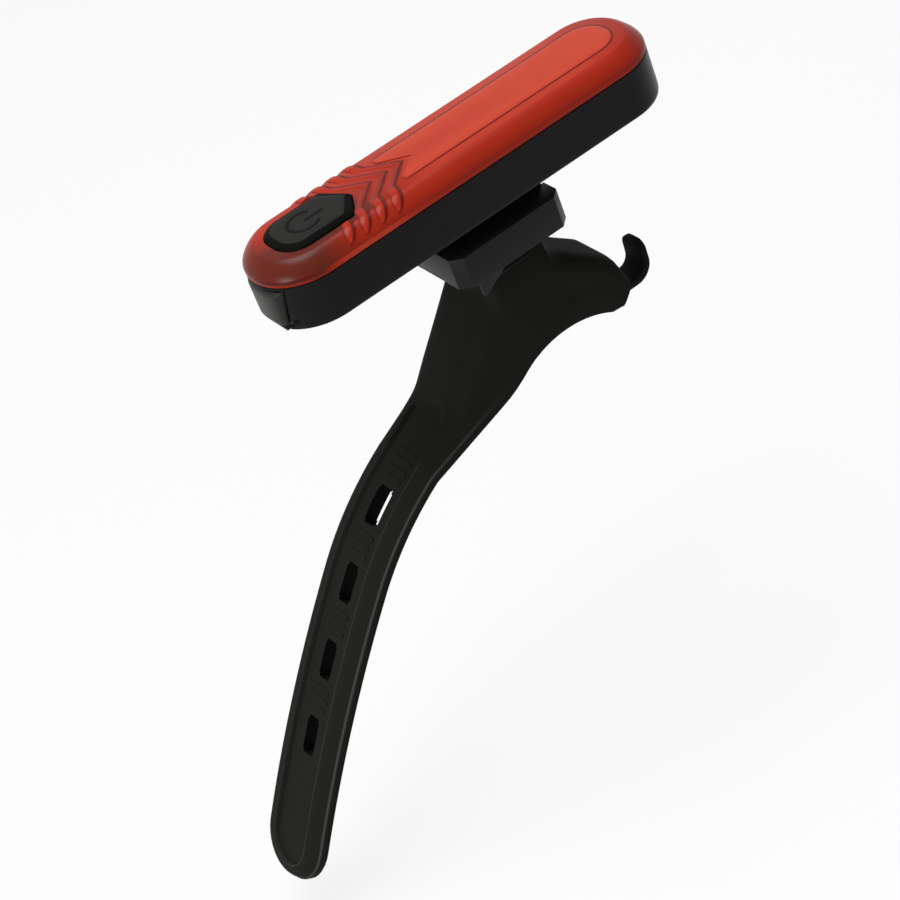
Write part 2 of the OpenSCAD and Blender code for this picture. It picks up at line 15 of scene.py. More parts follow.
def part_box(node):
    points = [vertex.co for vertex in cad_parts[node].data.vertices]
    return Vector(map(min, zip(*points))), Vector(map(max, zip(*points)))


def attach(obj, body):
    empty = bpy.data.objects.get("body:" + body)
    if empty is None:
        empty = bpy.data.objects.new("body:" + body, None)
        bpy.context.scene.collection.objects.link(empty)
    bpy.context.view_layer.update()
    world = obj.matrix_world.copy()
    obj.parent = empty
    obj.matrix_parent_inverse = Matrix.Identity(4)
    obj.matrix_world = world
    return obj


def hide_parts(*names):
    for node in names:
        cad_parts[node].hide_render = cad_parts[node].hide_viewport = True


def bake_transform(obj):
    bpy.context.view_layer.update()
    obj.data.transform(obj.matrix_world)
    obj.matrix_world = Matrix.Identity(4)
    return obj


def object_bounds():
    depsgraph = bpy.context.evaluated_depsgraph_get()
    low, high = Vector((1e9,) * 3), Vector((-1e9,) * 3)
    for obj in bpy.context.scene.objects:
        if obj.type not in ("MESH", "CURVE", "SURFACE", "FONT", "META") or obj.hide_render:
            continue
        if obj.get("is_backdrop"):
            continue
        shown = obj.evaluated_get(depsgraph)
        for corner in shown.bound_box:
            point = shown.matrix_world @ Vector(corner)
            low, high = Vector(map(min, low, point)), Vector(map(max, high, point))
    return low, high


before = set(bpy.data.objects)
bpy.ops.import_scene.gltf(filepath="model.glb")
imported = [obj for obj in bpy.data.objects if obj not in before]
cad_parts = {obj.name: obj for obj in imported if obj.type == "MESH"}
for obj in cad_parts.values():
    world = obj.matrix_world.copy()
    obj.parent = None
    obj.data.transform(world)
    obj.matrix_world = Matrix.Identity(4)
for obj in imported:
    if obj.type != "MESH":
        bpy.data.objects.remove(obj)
cad_low, cad_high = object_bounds()
MM = 0.001

# %% [markdown]
# ## Sizes
# Pieces are drawn in millimetres and scaled to metres when they are finished. The main heights are
# read from the CAD boxes, so what is drawn here stays on the solids that it stands for.

# %% Main sizes
def cad_box(node):
    low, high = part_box(node)
    return low / MM, high / MM


house_low, house_high = cad_box("housing")
LIGHT_X = (house_low.x + house_high.x) / 2
LENGTH = house_high.x - house_low.x
WIDTH = house_high.y - house_low.y
END_R = 8.75
END_X = LIGHT_X - LENGTH / 2
SEAM = house_high.z
LEDGE = cad_box("lens_seal")[0].z
BACK = SEAM - 8.0
FLOOR = BACK + 1.4
CROWN = SEAM + 3.6
CROWN_INSET = 2.5
SHOE_Z0 = BACK - 3.6 - 5.6
POST_R = 17.45
print("seam at %.2f, back at %.2f, crown at %.2f, light %.1f long" % (SEAM, BACK, CROWN, LENGTH))

# %% [markdown]
# ## Tools for meshes
# Most pieces are outlines that are extruded from one place to the next, as a maker lofts a form from
# its ribs, so one function does that. Others round a corner or finish a piece: they face its normals
# outwards, scale it to metres and tell the frame which body carries it and which solids it replaces.

# %% Mesh tools
def polar(r, degrees):
    return Vector((r * math.cos(math.radians(degrees)), r * math.sin(math.radians(degrees))))


def corner(p, q, s, r, steps):
    """Arc that rounds the corner q between p and s."""
    if r == 0:
        return [q]
    u, w = (p - q).normalized(), (s - q).normalized()
    half = math.acos(max(-1, min(1, u.dot(w)))) / 2
    c = q + (u + w).normalized() * (r / math.sin(half))
    a, b = q + u * (r / math.tan(half)), q + w * (r / math.tan(half))
    a0 = math.atan2(a.y - c.y, a.x - c.x)
    sweep = (math.atan2(b.y - c.y, b.x - c.x) - a0 + 3 * math.pi) % (2 * math.pi) - math.pi
    turn = [a0 + sweep * i / steps for i in range(steps + 1)]
    return [c + r * Vector((math.cos(t), math.sin(t))) for t in turn]


def rounded(points, radii, steps=8, closed=True):
    """An outline with its corners rounded."""
    n = len(points)
    out = []
    for i, q in enumerate(points):
        at_end = not closed and i in (0, n - 1)
        out += [q] if at_end else corner(points[i - 1], q, points[(i + 1) % n], radii[i], steps)
    return out


def pairs(row, closed):
    return zip(row, row[1:] + row[:1]) if closed else zip(row, row[1:])


def loft(bm, outlines, closed=True):
    """Extrudes the first outline to each of the others in turn, and gives back their points."""
    row = [bm.verts.new(p) for p in outlines[0]]
    edges = [bm.edges.new(pair) for pair in pairs(row, closed)]
    rows = [row]
    for outline in outlines[1:]:
        made = bmesh.ops.extrude_edge_only(bm, edges=edges)["geom"]
        place = {v: i for i, v in enumerate(row)}
        fresh = [None] * len(row)
        for v in made:
            if isinstance(v, bmesh.types.BMVert):
                old = next(e.other_vert(v) for e in v.link_edges if e.other_vert(v) in place)
                fresh[place[old]] = v
        for v, p in zip(fresh, outline):
            v.co = p
        row = fresh
        edges = [bm.edges.get(pair) for pair in pairs(row, closed)]
        rows.append(row)
    return rows


def between(x, xs, ys):
    """Value at x on a line through points."""
    for (x0, y0), (x1, y1) in zip(zip(xs, ys), zip(xs[1:], ys[1:])):
        if x <= x1:
            return y0 + (y1 - y0) * max(0.0, x - x0) / (x1 - x0)
    return ys[-1]


def bridge_opening(bm, verts):
    """Joins the two open edges round a hole, such as a slot's top and bottom."""
    near = set(verts)
    edges = [e for e in bm.edges if e.is_boundary and e.verts[0] in near and e.verts[1] in near]
    return bmesh.ops.bridge_loops(bm, edges=edges)["faces"]


def add_box(bm, low, high, bevel=0.0):
    """A box with soft edges, as an island of its own."""
    low, high = Vector(low), Vector(high)
    made = bmesh.ops.create_cube(bm, size=1.0)["verts"]
    bmesh.ops.scale(bm, vec=high - low, verts=made)
    bmesh.ops.translate(bm, vec=(low + high) / 2, verts=made)
    if bevel:
        edges = list({e for v in made for e in v.link_edges})
        bmesh.ops.bevel(bm, geom=edges, offset=bevel, offset_type="OFFSET", segments=2, profile=0.5,
            affect="EDGES", material=-1)


def finish_piece(name, bm, mat, body, nodes, angle=35):
    """Makes the drawn piece an object; a body of None leaves it on no body."""
    bmesh.ops.remove_doubles(bm, verts=bm.verts[:], dist=0.0005)
    bmesh.ops.recalc_face_normals(bm, faces=bm.faces[:])
    bmesh.ops.scale(bm, vec=(MM, MM, MM), verts=bm.verts[:])
    mesh = bpy.data.meshes.new(name)
    bm.to_mesh(mesh)
    bm.free()
    for p in mesh.polygons:
        p.use_smooth = True
    mesh.set_sharp_from_angle(angle=math.radians(angle))
    mesh.materials.append(mat)
    obj = bpy.data.objects.new(name, mesh)
    bpy.context.scene.collection.objects.link(obj)
    if body:
        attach(obj, body)
    if nodes:
        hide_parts(*nodes)
    print(name, len(mesh.vertices), "points", len(mesh.polygons), "faces")
    return obj


# %% [markdown]
# ## Materials
# Each finish starts from what the real one is. Moulded plastics and rubbers are nearly even in colour,
# so what tells them apart is how rough they are and the faint grain that the mould leaves, drawn a
# little coarser than the real one so that it shows.

# %% Colour and shader tools
def linear(code):
    parts = [int(code[i:i + 2], 16) / 255 for i in (1, 3, 5)]
    return [c / 12.92 if c <= 0.04045 else ((c + 0.055) / 1.055) ** 2.4 for c in parts] + [1.0]


def add(mat, kind, values=None, links=None, **settings):
    """Adds a shader node with its settings, its socket values and the links into it."""
    node = mat.node_tree.nodes.new(kind)
    for key, value in settings.items():
        setattr(node, key, value)
    for key, value in (values or {}).items():
        node.inputs[key].default_value = value
    for key, (other, out) in (links or {}).items():
        mat.node_tree.links.new(other.outputs[out], node.inputs[key])
    return node


def new_material(name):
    mat = bpy.data.materials.new(name)
    mat.use_nodes = True
    mat.node_tree.nodes.clear()
    return mat


# clouds of tone are about eight grains wide; how far they sway the roughness; the grain's depth in mm
CLOUD_SCALE, ROUGH_SWAY, GRAIN_DEPTH = 0.12, 0.07, 0.04


def moulded(name, code, rough, level=0.3, speck=0.1, grain=0.5, bump=0.12, metal=0.0, painted_light=None):
    """An even material with a faint grain of a size in millimetres, paler where a mesh paints light on it."""
    mat = new_material(name)
    base = linear(code)
    dark = [c * (1 - speck) for c in base[:3]] + [1]
    pale = [min(1, c * (1 + speck)) for c in base[:3]] + [1]
    place = add(mat, "ShaderNodeTexCoord")
    cloud = add(mat, "ShaderNodeTexNoise", {"Scale": CLOUD_SCALE / (grain * MM), "Detail": 3.0},
        {"Vector": (place, "Object")})
    fine = add(mat, "ShaderNodeTexNoise", {"Scale": 1 / (grain * MM), "Detail": 2.0},
        {"Vector": (place, "Object")})
    tint = add(mat, "ShaderNodeMixRGB", {"Color1": dark, "Color2": pale}, {"Fac": (cloud, "Fac")})
    # painted light: the mesh's 'rim' attribute mixes the colour towards a paler one
    if painted_light:
        rim = add(mat, "ShaderNodeAttribute", attribute_name="rim")
        tint = add(mat, "ShaderNodeMixRGB", {"Color2": linear(painted_light)},
            {"Fac": (rim, "Fac"), "Color1": (tint, "Color")})
    wear = add(mat, "ShaderNodeMapRange", {"To Min": rough - ROUGH_SWAY, "To Max": rough + ROUGH_SWAY},
        {"Value": (cloud, "Fac")})
    relief = add(mat, "ShaderNodeBump", {"Strength": bump, "Distance": GRAIN_DEPTH * MM},
        {"Height": (fine, "Fac")})
    skin = add(mat, "ShaderNodeBsdfPrincipled", {"Metallic": metal, "Specular IOR Level": level},
        {"Base Color": (tint, "Color"), "Roughness": (wear, "Result"), "Normal": (relief, "Normal")})
    add(mat, "ShaderNodeOutputMaterial", None, {"Surface": (skin, "BSDF")})
    return mat


# %% Plastics, rubbers and metals
# black ABS from a finely eroded mould: satin, with a soft shine on its corners
black_abs = moulded("black ABS, moulded", "#101011", 0.32, 0.1, 0.1, 0.3)
# nylon, a little greyer and rougher, so its faces catch light from the side
shoe_nylon = moulded("black nylon, moulded", "#181817", 0.42, 0.12, 0.12, 0.5, 0.2)
# silicone rubber from a matt mould: dull, with a faint bloom of dust in clouds, and paler rims that are a
# painted highlight
strap_silicone = moulded("black silicone rubber", "#1d1e1b", 0.7, 0.025, 0.14, 0.9, 0.1, painted_light="#5a5b56")
# the same rubber, nearly black, as painted shade inside the slots and on the button's sloping foot
shade_silicone = moulded("black silicone rubber, in_painted_shade", "#0b0b0a", 0.6, 0.02)
# a softer silicone, a shade warmer than the strap, with a low sheen
button_silicone = moulded("soft black rubber", "#141412", 0.55, 0.1, 0.1, 0.5)
# rubber paint without dust on it, so the sign reads darker than the button
sign_ink = moulded("black rubber ink", "#0b0b0a", 0.55, 0.05, 0.1, 0.4)
# thermoplastic rubber, a little blotchy, with painted light: paler to its far side, painted shade along its
# near edge and top
flap_rubber = moulded("dark grey rubber", "#181817", 0.5, 0.2, 0.2, 0.8, 0.2, painted_light="#4a4a46")
# foam rubber cord: black and without any shine
seal_rubber = moulded("black seal rubber", "#161616", 0.6)
# white ABS: bright and even, to throw the light forward
white_abs = moulded("white ABS, moulded", "#e4e2dc", 0.4)
# zinc plate on steel: grey with a dull mirror
plated_steel = moulded("plated steel", "#b4b7ba", 0.3, 0.5, metal=1.0)
# lacquer over the board: deep green with a low gloss
board_green = moulded("green solder mask", "#1f5a34", 0.35)
# moulded epoxy of a chip: nearly black, slightly blue
chip_epoxy = moulded("black epoxy", "#1c1c20", 0.4)
# phosphor in clear gel: a matt warm yellow
phosphor = moulded("yellow phosphor", "#e4c24c", 0.4)
# cast resin: pale green and smooth
green_resin = moulded("clear green resin", "#c2dcb4", 0.3)
# laminated foil: soft metallic grey with wrinkles
pouch_foil = moulded("aluminium pouch foil", "#b9bdc4", 0.35, 0.5, bump=0.4, metal=0.6)
# open-cell foam: creamy and fully matt
foam_tape = moulded("white foam tape", "#dedacb", 0.8)
# extruded vinyl: plain red with a low gloss
wire_skin = moulded("red wire skin", "#a01a1a", 0.45)
# polycarbonate with a frosted face: an even pale red
frosted_red = moulded("frosted red plastic", "#c4452a", 0.5)


# size in millimetres of the lens's faint clouds, and how far they sway its depth
LENS_CLOUD, LENS_SWAY = 6.0, 0.06


def clear_red(name):
    """Clear red polycarbonate: 0 over the pale panel, 0.8 at the smoky ends, 0.9 in a line, 1 in shade."""
    mat = new_material(name)
    deep = add(mat, "ShaderNodeAttribute", attribute_name="depth")
    place = add(mat, "ShaderNodeTexCoord")
    cloud = add(mat, "ShaderNodeTexNoise", {"Scale": 1 / (LENS_CLOUD * MM), "Detail": 2.0},
        {"Vector": (place, "Object")})
    sway = add(mat, "ShaderNodeMapRange", {"To Min": -LENS_SWAY, "To Max": LENS_SWAY},
        {"Value": (cloud, "Fac")})
    mix = add(mat, "ShaderNodeMath", None, {0: (deep, "Fac"), 1: (sway, "Result")}, operation="ADD")
    ramp = add(mat, "ShaderNodeValToRGB", None, {"Fac": (mix, "Value")})
    stops = ((0.0, "#c43f26"), (0.3, "#b02d16"), (0.55, "#a0220a"), (0.8, "#5c1f12"), (0.9, "#6a0f04"),
        (1.0, "#34110a"))
    bar = ramp.color_ramp
    bar.elements[0].color, bar.elements[1].color = linear(stops[0][1]), linear(stops[-1][1])
    for at, code in stops[1:-1]:
        bar.elements.new(at).color = linear(code)
    skin = add(mat, "ShaderNodeBsdfPrincipled",
        {"Roughness": 0.28, "IOR": 1.5, "Specular IOR Level": 0.08, "Transmission Weight": 0.12},
        {"Base Color": (ramp, "Color")})
    add(mat, "ShaderNodeOutputMaterial", None, {"Surface": (skin, "BSDF")})
    return mat


# polycarbonate from a polished mould: smooth, and its red deepens with what lies behind it
lens_red = clear_red("clear red polycarbonate")
print("materials", len(bpy.data.materials))

# %% [markdown]
# ## Housing
# A black moulded tray: it holds the battery and the board, and the lens closes it. An outline of the
# light is extruded from the back up to the seam, in over the rim and down the inside, so wall and
# floor are one closed skin. At the button end the outline steps in below a shelf, which leaves a
# recess for the port flap, and some faces of that wall come out for the charging port.

# %% Housing outline
RECESS = 0.8
RECESS_Y = 6.15
PORT_Y = 4.3
PORT_LOW, PORT_HIGH = BACK + 3.1, LEDGE - 0.1
FLAP_LOW, FLAP_HIGH = BACK + 0.6, cad_box("port_cover")[1].z
RECESS_TOP = FLAP_HIGH + 0.45
TETHER_Y = 2.8
END_YS = [RECESS_Y, 5.3, PORT_Y, TETHER_Y, 1.4, 0, -1.4, -TETHER_Y, -PORT_Y, -5.3, -RECESS_Y]
ARC_STEPS = 8
FAR_X, SIDE_Y = LENGTH / 2 - END_R, WIDTH / 2 - END_R


def end_x_at(y, inset):
    """Where the button end's wall is, at a distance from the middle."""
    r = END_R - inset
    side = max(0.0, abs(y) - SIDE_Y)
    return END_X + END_R - math.sqrt(r * r - side * side)


def arc_points(cx, cy, r, a0, a1, steps):
    turn = [a0 + (a1 - a0) * k / steps for k in range(steps + 1)]
    return [(cx + polar(r, a).x, cy + polar(r, a).y) for a in turn]


def housing_outline(inset, z, recess, half=RECESS_Y):
    """Points round the housing: far corner, button end, near corner, far end."""
    r = END_R - inset
    stop = math.degrees(math.asin((RECESS_Y - SIDE_Y) / r))
    points = arc_points(LIGHT_X - FAR_X, SIDE_Y, r, 90, 180 - stop, ARC_STEPS)
    points += [(end_x_at(y, inset + (recess if abs(y) <= half else 0)), y) for y in END_YS]
    points += arc_points(LIGHT_X - FAR_X, -SIDE_Y, r, 180 + stop, 270, ARC_STEPS)
    points += arc_points(LIGHT_X + FAR_X, -SIDE_Y, r, 270, 360, 12)
    points += arc_points(LIGHT_X + FAR_X, SIDE_Y, r, 0, 90, 12)
    return [(x, y, z) for x, y in points]


print("recess %.2f deep, port from %.2f to %.2f" % (RECESS, PORT_LOW, PORT_HIGH))

# %% Housing shell
bm = bmesh.new()
# under the flap's corners a low lip closes the recess, with a gap in its middle for the tether
levels = [(0.5, BACK, RECESS, TETHER_Y), (0.15, BACK + 0.14, RECESS, TETHER_Y),
    (0.04, BACK + 0.45, RECESS, PORT_Y), (0, BACK + 0.9, RECESS, PORT_Y),
    (0, BACK + 1.3, RECESS), (0, PORT_LOW, RECESS), (0, PORT_HIGH, RECESS),
    (0, RECESS_TOP, RECESS), (0, RECESS_TOP, 0), (0, SEAM - 0.32, 0),
    (0.2, SEAM - 0.12, 0), (1.2, SEAM - 0.12, 0), (1.2, LEDGE, 0), (2.2, LEDGE, 0), (2.2, PORT_HIGH, 0),
    (2.2, PORT_LOW, 0), (2.2, FLOOR, 0)]
rows = loft(bm, [housing_outline(*level) for level in levels])
bm.faces.new(rows[0])
bm.faces.new(rows[-1])
first = ARC_STEPS + 1 + END_YS.index(PORT_Y)
last = ARC_STEPS + 1 + END_YS.index(-PORT_Y)
# the rows at the port's edges: outside lower and upper, then inside upper and lower
port = [rows[k][first:last + 1] for k in (5, 6, 14, 15)]
port_faces = []
for low, high in (port[0:2], port[3:1:-1]):
    for k in range(len(low) - 1):
        corners = {low[k], low[k + 1], high[k], high[k + 1]}
        port_faces += [f for f in low[k].link_faces if set(f.verts) == corners]
bmesh.ops.delete(bm, geom=port_faces, context="FACES")
bridge_opening(bm, [v for row in port for v in row])
shoe_low, shoe_high = cad_box("bracket_shoe")
FOOT_X0, FOOT_X1 = shoe_low.x + 2.25, shoe_high.x - 0.4
# the slide foot: a neck under the light, and a wider rail that the shoe holds
NECK_HALF, RAIL_HALF = 3.5, 5.5
RAIL_LOW, RAIL_HIGH = SHOE_Z0 + 1.85, SHOE_Z0 + 3.85
add_box(bm, (FOOT_X0, -NECK_HALF, RAIL_HIGH - 0.25), (FOOT_X1, NECK_HALF, BACK + 0.05))
add_box(bm, (FOOT_X0, -RAIL_HALF, RAIL_LOW), (FOOT_X1, RAIL_HALF, RAIL_HIGH), 0.2)
finish_piece("housing_shell", bm, black_abs, "light", ["housing"])

# %% [markdown]
# ## Lens
# A clear red cap. Its flat crown carries a pale panel over the light strip, and the shoulders turn
# down to the seam. Red plastic looks pale where something white lies close behind it and dark where
# it is thick or over the black rim, so each row of points carries a depth that the colour follows. Some
# depths are painted light: a highlight low on the near side, and shade in the ridges' lines and by the
# button.

# %% Lens outlines
BUTTON_X0, BUTTON_X1 = END_X + 5.1, END_X + 19.7
BUTTON_HALF, BUTTON_POINT, BUTTON_GAP = 5.0, 2.9, 0.5


def shield(grow):
    """Outline of the button: round at the end, pointed towards the panel."""
    x0, x1, w = BUTTON_X0 - grow, BUTTON_X1 + grow, BUTTON_HALF + grow
    tip = x1 - BUTTON_POINT
    points = [Vector(p) for p in ((x0, -w), (tip, -w), (x1, 0), (tip, w), (x0, w))]
    radii = [max(0.3, r + grow) for r in (4, 1.2, 0.8, 1.2, 4)]
    return rounded(points, radii, 10)


def plan(inset, z, steps=14):
    """Outline of the light from the front, drawn in by an inset."""
    r = END_R - inset
    points = []
    for sx, sy, a0 in ((1, 1, 0), (-1, 1, 90), (-1, -1, 180), (1, -1, 270)):
        points += arc_points(LIGHT_X + sx * FAR_X, sy * SIDE_Y, r, a0, a0 + 90, steps)
        if sx == sy:
            points += [(LIGHT_X + sx * FAR_X * (1 - k / 7), sy * (SIDE_Y + r)) for k in range(1, 14)]
    return [(x, y, z) for x, y in points]


SHOULDER_LOW = SEAM + 0.9
ROUNDNESS = 2 / 1.4


def shoulder(t):
    """Inset and height on the shoulder, from the band (0) to the crown (1)."""
    a = t * math.pi / 2
    rise = (CROWN - SHOULDER_LOW) * math.sin(a) ** ROUNDNESS
    return CROWN_INSET * (1 - math.cos(a) ** ROUNDNESS), SHOULDER_LOW + rise


def fill_between(bm, outer, inner):
    """Flat face between an outline and a hole in it."""
    edges = [bm.edges.get(pair) for loop in (outer, inner) for pair in pairs(loop, True)]
    bmesh.ops.triangle_fill(bm, use_beauty=True, use_dissolve=False, edges=edges)


# places across and along the light, each list with its shares or depths
CLEAR_ACROSS, CLEAR_ALONG = ((-1, 5), (0, 1)), ((2, 6, 30, 35), (0.15, 1, 1, 0))
CLEAR_TONE = 0.32
CROWN_SMOKE = ((0, 5, 14, 21, 27, 31, 62, 69, 75), (0.76, 0.78, 0.74, 0.62, 0.5, 0.2, 0.2, 0.5, 0.64))


def clearer(tone, x, y):
    """A smoky depth, less so on the far side of the button end, where light comes through the rim."""
    share = between(y, *CLEAR_ACROSS) * between(x - END_X, *CLEAR_ALONG)
    return tone + (min(tone, CLEAR_TONE) - tone) * share


def crown_tone(x, y):
    """Depth along the crown: smoky over the board at both ends, pale over the light strip."""
    return clearer(between(x - END_X, *CROWN_SMOKE), x, y)


print("button from x %.1f to %.1f" % (BUTTON_X0, BUTTON_X1))

# %% Lens shell
bm = bmesh.new()
depth = bm.verts.layers.float.new("depth")
skin = [(0.14, SEAM), (0, SEAM + 0.14)] + [shoulder(k / 10) for k in range(11)]
hollow = [(CROWN_INSET + 1.3, CROWN - 1.3), (2.2, SEAM + 0.45), (2.2, LEDGE + 0.5), (1.3, LEDGE + 0.5),
    (1.3, SEAM), (0.14, SEAM)]
outside = loft(bm, [plan(*row) for row in skin])
inside = loft(bm, [plan(*row) for row in hollow])
hole = loft(bm, [[(p.x, p.y, z) for p in shield(BUTTON_GAP)] for z in (CROWN, CROWN - 0.08, CROWN - 1.3)])
fill_between(bm, outside[-1], hole[0])
fill_between(bm, inside[0], hole[2])
SEAM_TONE, LOW_TONE, HIGH_TONE, HIGHLIGHT_TONE = 0.2, 0.62, 0.34, 0.05
RIM_TONES = (0.5, 0.5, 1.0, 0.9)
SHOULDER_SMOKE = ((0, 8, 14, 20, 64, 75), (0.82, 0.8, 0.6, 0.4, 0.34, 0.7))
HIGHLIGHT_ALONG, END_ALONG, HOLE_SHADE = ((7, 11, 22, 27), (0, 1, 1, 0)), ((5, 9), (1, 0)), ((-4, -1), (1, 0))
for k, row in enumerate(outside):
    value = SEAM_TONE if k < 2 else LOW_TONE + (HIGH_TONE - LOW_TONE) * (k - 2) / 10
    for v in row:
        x = v.co.x - END_X
        tone = max(value, between(x, *SHOULDER_SMOKE))
        # painted highlight: the low band on the near side, by the button end, is paler in place of a
        # reflection
        if k < 3 and v.co.y < 0:
            tone += (HIGHLIGHT_TONE - tone) * between(x, *HIGHLIGHT_ALONG)
        if k < len(RIM_TONES):
            tone += (RIM_TONES[k] - tone) * between(x, *END_ALONG)
        v[depth] = clearer(tone, v.co.x, v.co.y)
for v in outside[-1] + hole[0]:
    v[depth] = crown_tone(v.co.x, v.co.y)
for v in hole[0]:
    v[depth] = max(v[depth], between(v.co.y, *HOLE_SHADE))
for v in hole[1] + hole[2] + sum(inside, []):
    v[depth] = 1.0
print("lens shell", len(bm.verts), "points")

# %% Panel of the lens
PANEL_X0, PANEL_X1, PANEL_HALF = LIGHT_X - 10.4, LIGHT_X + 33.2, 5.15
PANEL_H, PANEL_NOTCH, PANEL_FADE = 0.07, 4.6, 0.8
LINE_TONE = 0.9


def panel_outline(inset, z):
    """The panel over the light strip: notched by the ridges, round at the far end."""
    w = PANEL_HALF - inset
    far = PANEL_X1 - inset
    side = [(PANEL_X0, -w), (PANEL_X0 + PANEL_FADE, -w), (far, -w)]
    corners = side + [(x, -y) for x, y in reversed(side)] + [(PANEL_X0 + PANEL_NOTCH, 0)]
    points = rounded([Vector(p) for p in corners], [0, 0, w - 0.3, w - 0.3, 0, 0, 0], 14)
    return [(p.x, p.y, z) for p in points]


steps = [(0, CROWN - 0.2, LINE_TONE), (0, CROWN + 0.02, LINE_TONE), (0.3, CROWN + 0.035, LINE_TONE),
    (0.42, CROWN + PANEL_H, 0.06), (1.6, CROWN + PANEL_H + 0.02, 0.0)]
rows = loft(bm, [panel_outline(inset, z) for inset, z, value in steps])
for row, (inset, z, value) in zip(rows, steps):
    for v in row:
        at_start = v.co.x < PANEL_X0 + PANEL_FADE / 2 or abs(v.co.y) < 0.01
        v[depth] = crown_tone(v.co.x, v.co.y) if at_start else value
bm.faces.new(rows[0])
bm.faces.new(rows[-1])
print("panel", len(rows[0]), "points round it")

# %% [markdown]
# The ridges are four chevrons that point away from the button. Each is a low step that climbs gently
# and drops sharply, extruded along the crown and down the shoulder to a rounded tooth; along the drop,
# and on both sides of a tooth, a dark line is painted shade. The first chevron has only its two teeth,
# because the button stands in its place.

# %% Ridges of the lens
RIDGE_COUNT, FIRST_APEX = 4, BUTTON_X1 + 1.0
RIDGE_PITCH, RIDGE_W = 3.05, 1.75
RIDGE_H, TOOTH_H = 0.12, 0.28
RIDGE_REACH = 4.6
# across a ridge: share of its width, share of its height, depth on the crown, depth on the tooth; LINE_TONE
# is painted shade
RIDGE_SECTION = [(-0.5, -0.6, 0.66, LINE_TONE), (-0.5, 0.05, 0.66, LINE_TONE), (-0.36, 0.6, 0.64, 0.6),
    (-0.1, 0.9, 0.62, 0.42), (0.25, 1.0, 0.62, 0.42), (0.36, 0.85, 0.75, 0.6),
    (0.42, 0.15, LINE_TONE, LINE_TONE), (0.72, 0.1, LINE_TONE, LINE_TONE), (0.72, -0.6, LINE_TONE, LINE_TONE)]
TOOTH = [(5.8, 1.0), (6.8, 1.05), (7.5, 1.05), (8.05, 0.95), (8.5, 0.75), (8.8, 0.4)]


def shoulder_height(y):
    """Height of the shoulder at a distance from the middle line."""
    return next((shoulder(k / 80)[1] for k in range(81) if shoulder(k / 80)[0] >= WIDTH / 2 - y), CROWN)


def ridge_path(apex, side):
    """Places, directions and sizes along one leg of a chevron, and 1 where it is a tooth."""
    start = apex - RIDGE_W / 2
    path = [(Vector((start - y, side * y, CROWN)), Vector((0, 0, 1)), 1.0, 0)
        for y in (RIDGE_REACH * k / 5 for k in range(6))]
    for k, (y, size) in enumerate(TOOTH):
        p = Vector((start - RIDGE_REACH - 0.3 * (k + 1), side * y, shoulder_height(y)))
        path.append((p, Vector((0, side * min(1.2, (y - 5) / 2.6), 0.8)).normalized(), size, 1))
    return path


for i in range(RIDGE_COUNT):
    near_leg, far_leg = (ridge_path(FIRST_APEX + RIDGE_PITCH * i, side) for side in (-1, 1))
    whole = near_leg[::-1] + far_leg[1:]
    for path in ([whole] if i else [near_leg[-len(TOOTH):], far_leg[-len(TOOTH):]]):
        outlines = []
        for p, n, size, tooth in path:
            high = n * (TOOTH_H if tooth else RIDGE_H)
            wide = Vector((RIDGE_W * size, 0, 0))
            outlines.append([p + wide * u + high * h for u, h, *tones in RIDGE_SECTION])
        rows = loft(bm, outlines)
        bm.faces.new(rows[0])
        bm.faces.new(rows[-1])
        # a depth of LINE_TONE is a dark line of painted shade at the drop
        for row, (p, n, size, tooth) in zip(rows, path):
            for v, (u, h, *tones) in zip(row, RIDGE_SECTION):
                line = tones[tooth] == LINE_TONE
                v[depth] = LINE_TONE if line else clearer(tones[tooth], v.co.x, v.co.y)
finish_piece("lens_cap", bm, lens_red, "light", ["lens"], angle=38)

# %% [markdown]
# ## Button
# A soft rubber button shaped like a shield. It stands out of the lens on sloping sides, which are
# painted shade in a nearly black rubber. The power symbol, which is a generic sign, is a low bead of
# ink laid on its face as a piece of its own.

# %% Button
bm = bmesh.new()
TOP = cad_box("button")[1].z
STEM_Z = cad_box("button")[0].z
# inset from the button's outline, and height, from the foot up to the face
sides = [(-0.35, CROWN - 1.6), (-0.35, CROWN + 0.05), (-0.2, CROWN + 0.3), (0.75, TOP - 0.14),
    (1.0, TOP - 0.03), (1.25, TOP), (2.0, TOP + 0.02)]
rows = loft(bm, [[(p.x, p.y, z) for p in shield(-inset)] for inset, z in sides])
# the foot's sloping sides take the nearly black rubber as painted shade
foot = set(sum(rows[:4], []))
for f in bm.faces:
    f.material_index = int(foot.issuperset(f.verts))
FLANGE_GROW, FLANGE_ZS = 0.7, (CROWN - 2.4, CROWN - 1.6)
flange = loft(bm, [[(p.x, p.y, z) for p in shield(FLANGE_GROW)] for z in FLANGE_ZS])
for end in (rows[0], rows[-1], flange[0], flange[-1]):
    bm.faces.new(end)
STEM_R, STEM_H = 2.2, 1.0
stem = bmesh.ops.create_cone(bm, cap_ends=True, segments=32, radius1=STEM_R, radius2=STEM_R,
    depth=STEM_H)["verts"]
bmesh.ops.translate(bm, vec=((BUTTON_X0 + BUTTON_X1) / 2, 0, STEM_Z + STEM_H / 2), verts=stem)
button = finish_piece("button_cap", bm, button_silicone, "button", ["button"], angle=50)
button.data.materials.append(shade_silicone)

# %% Power sign
bm = bmesh.new()
SIGN_X, SIGN_R, BEAD, BEAD_H = BUTTON_X0 + 5.9, 2.6, 0.36, 0.1


def bead(points):
    """A low bead laid along points on the button's face."""
    outlines = []
    for i, p in enumerate(points):
        run = (points[min(i + 1, len(points) - 1)] - points[max(0, i - 1)]).normalized()
        across = Vector((-run.y, run.x, 0))
        ring = [polar(1, 36 * k) for k in range(10)]
        outlines.append([p + across * (BEAD * q.x) + Vector((0, 0, BEAD_H * q.y)) for q in ring])
    ends = loft(bm, outlines)
    bm.faces.new(ends[0])
    bm.faces.new(ends[-1])


SIGN_Z, RING_STEPS = TOP + 0.02, 30
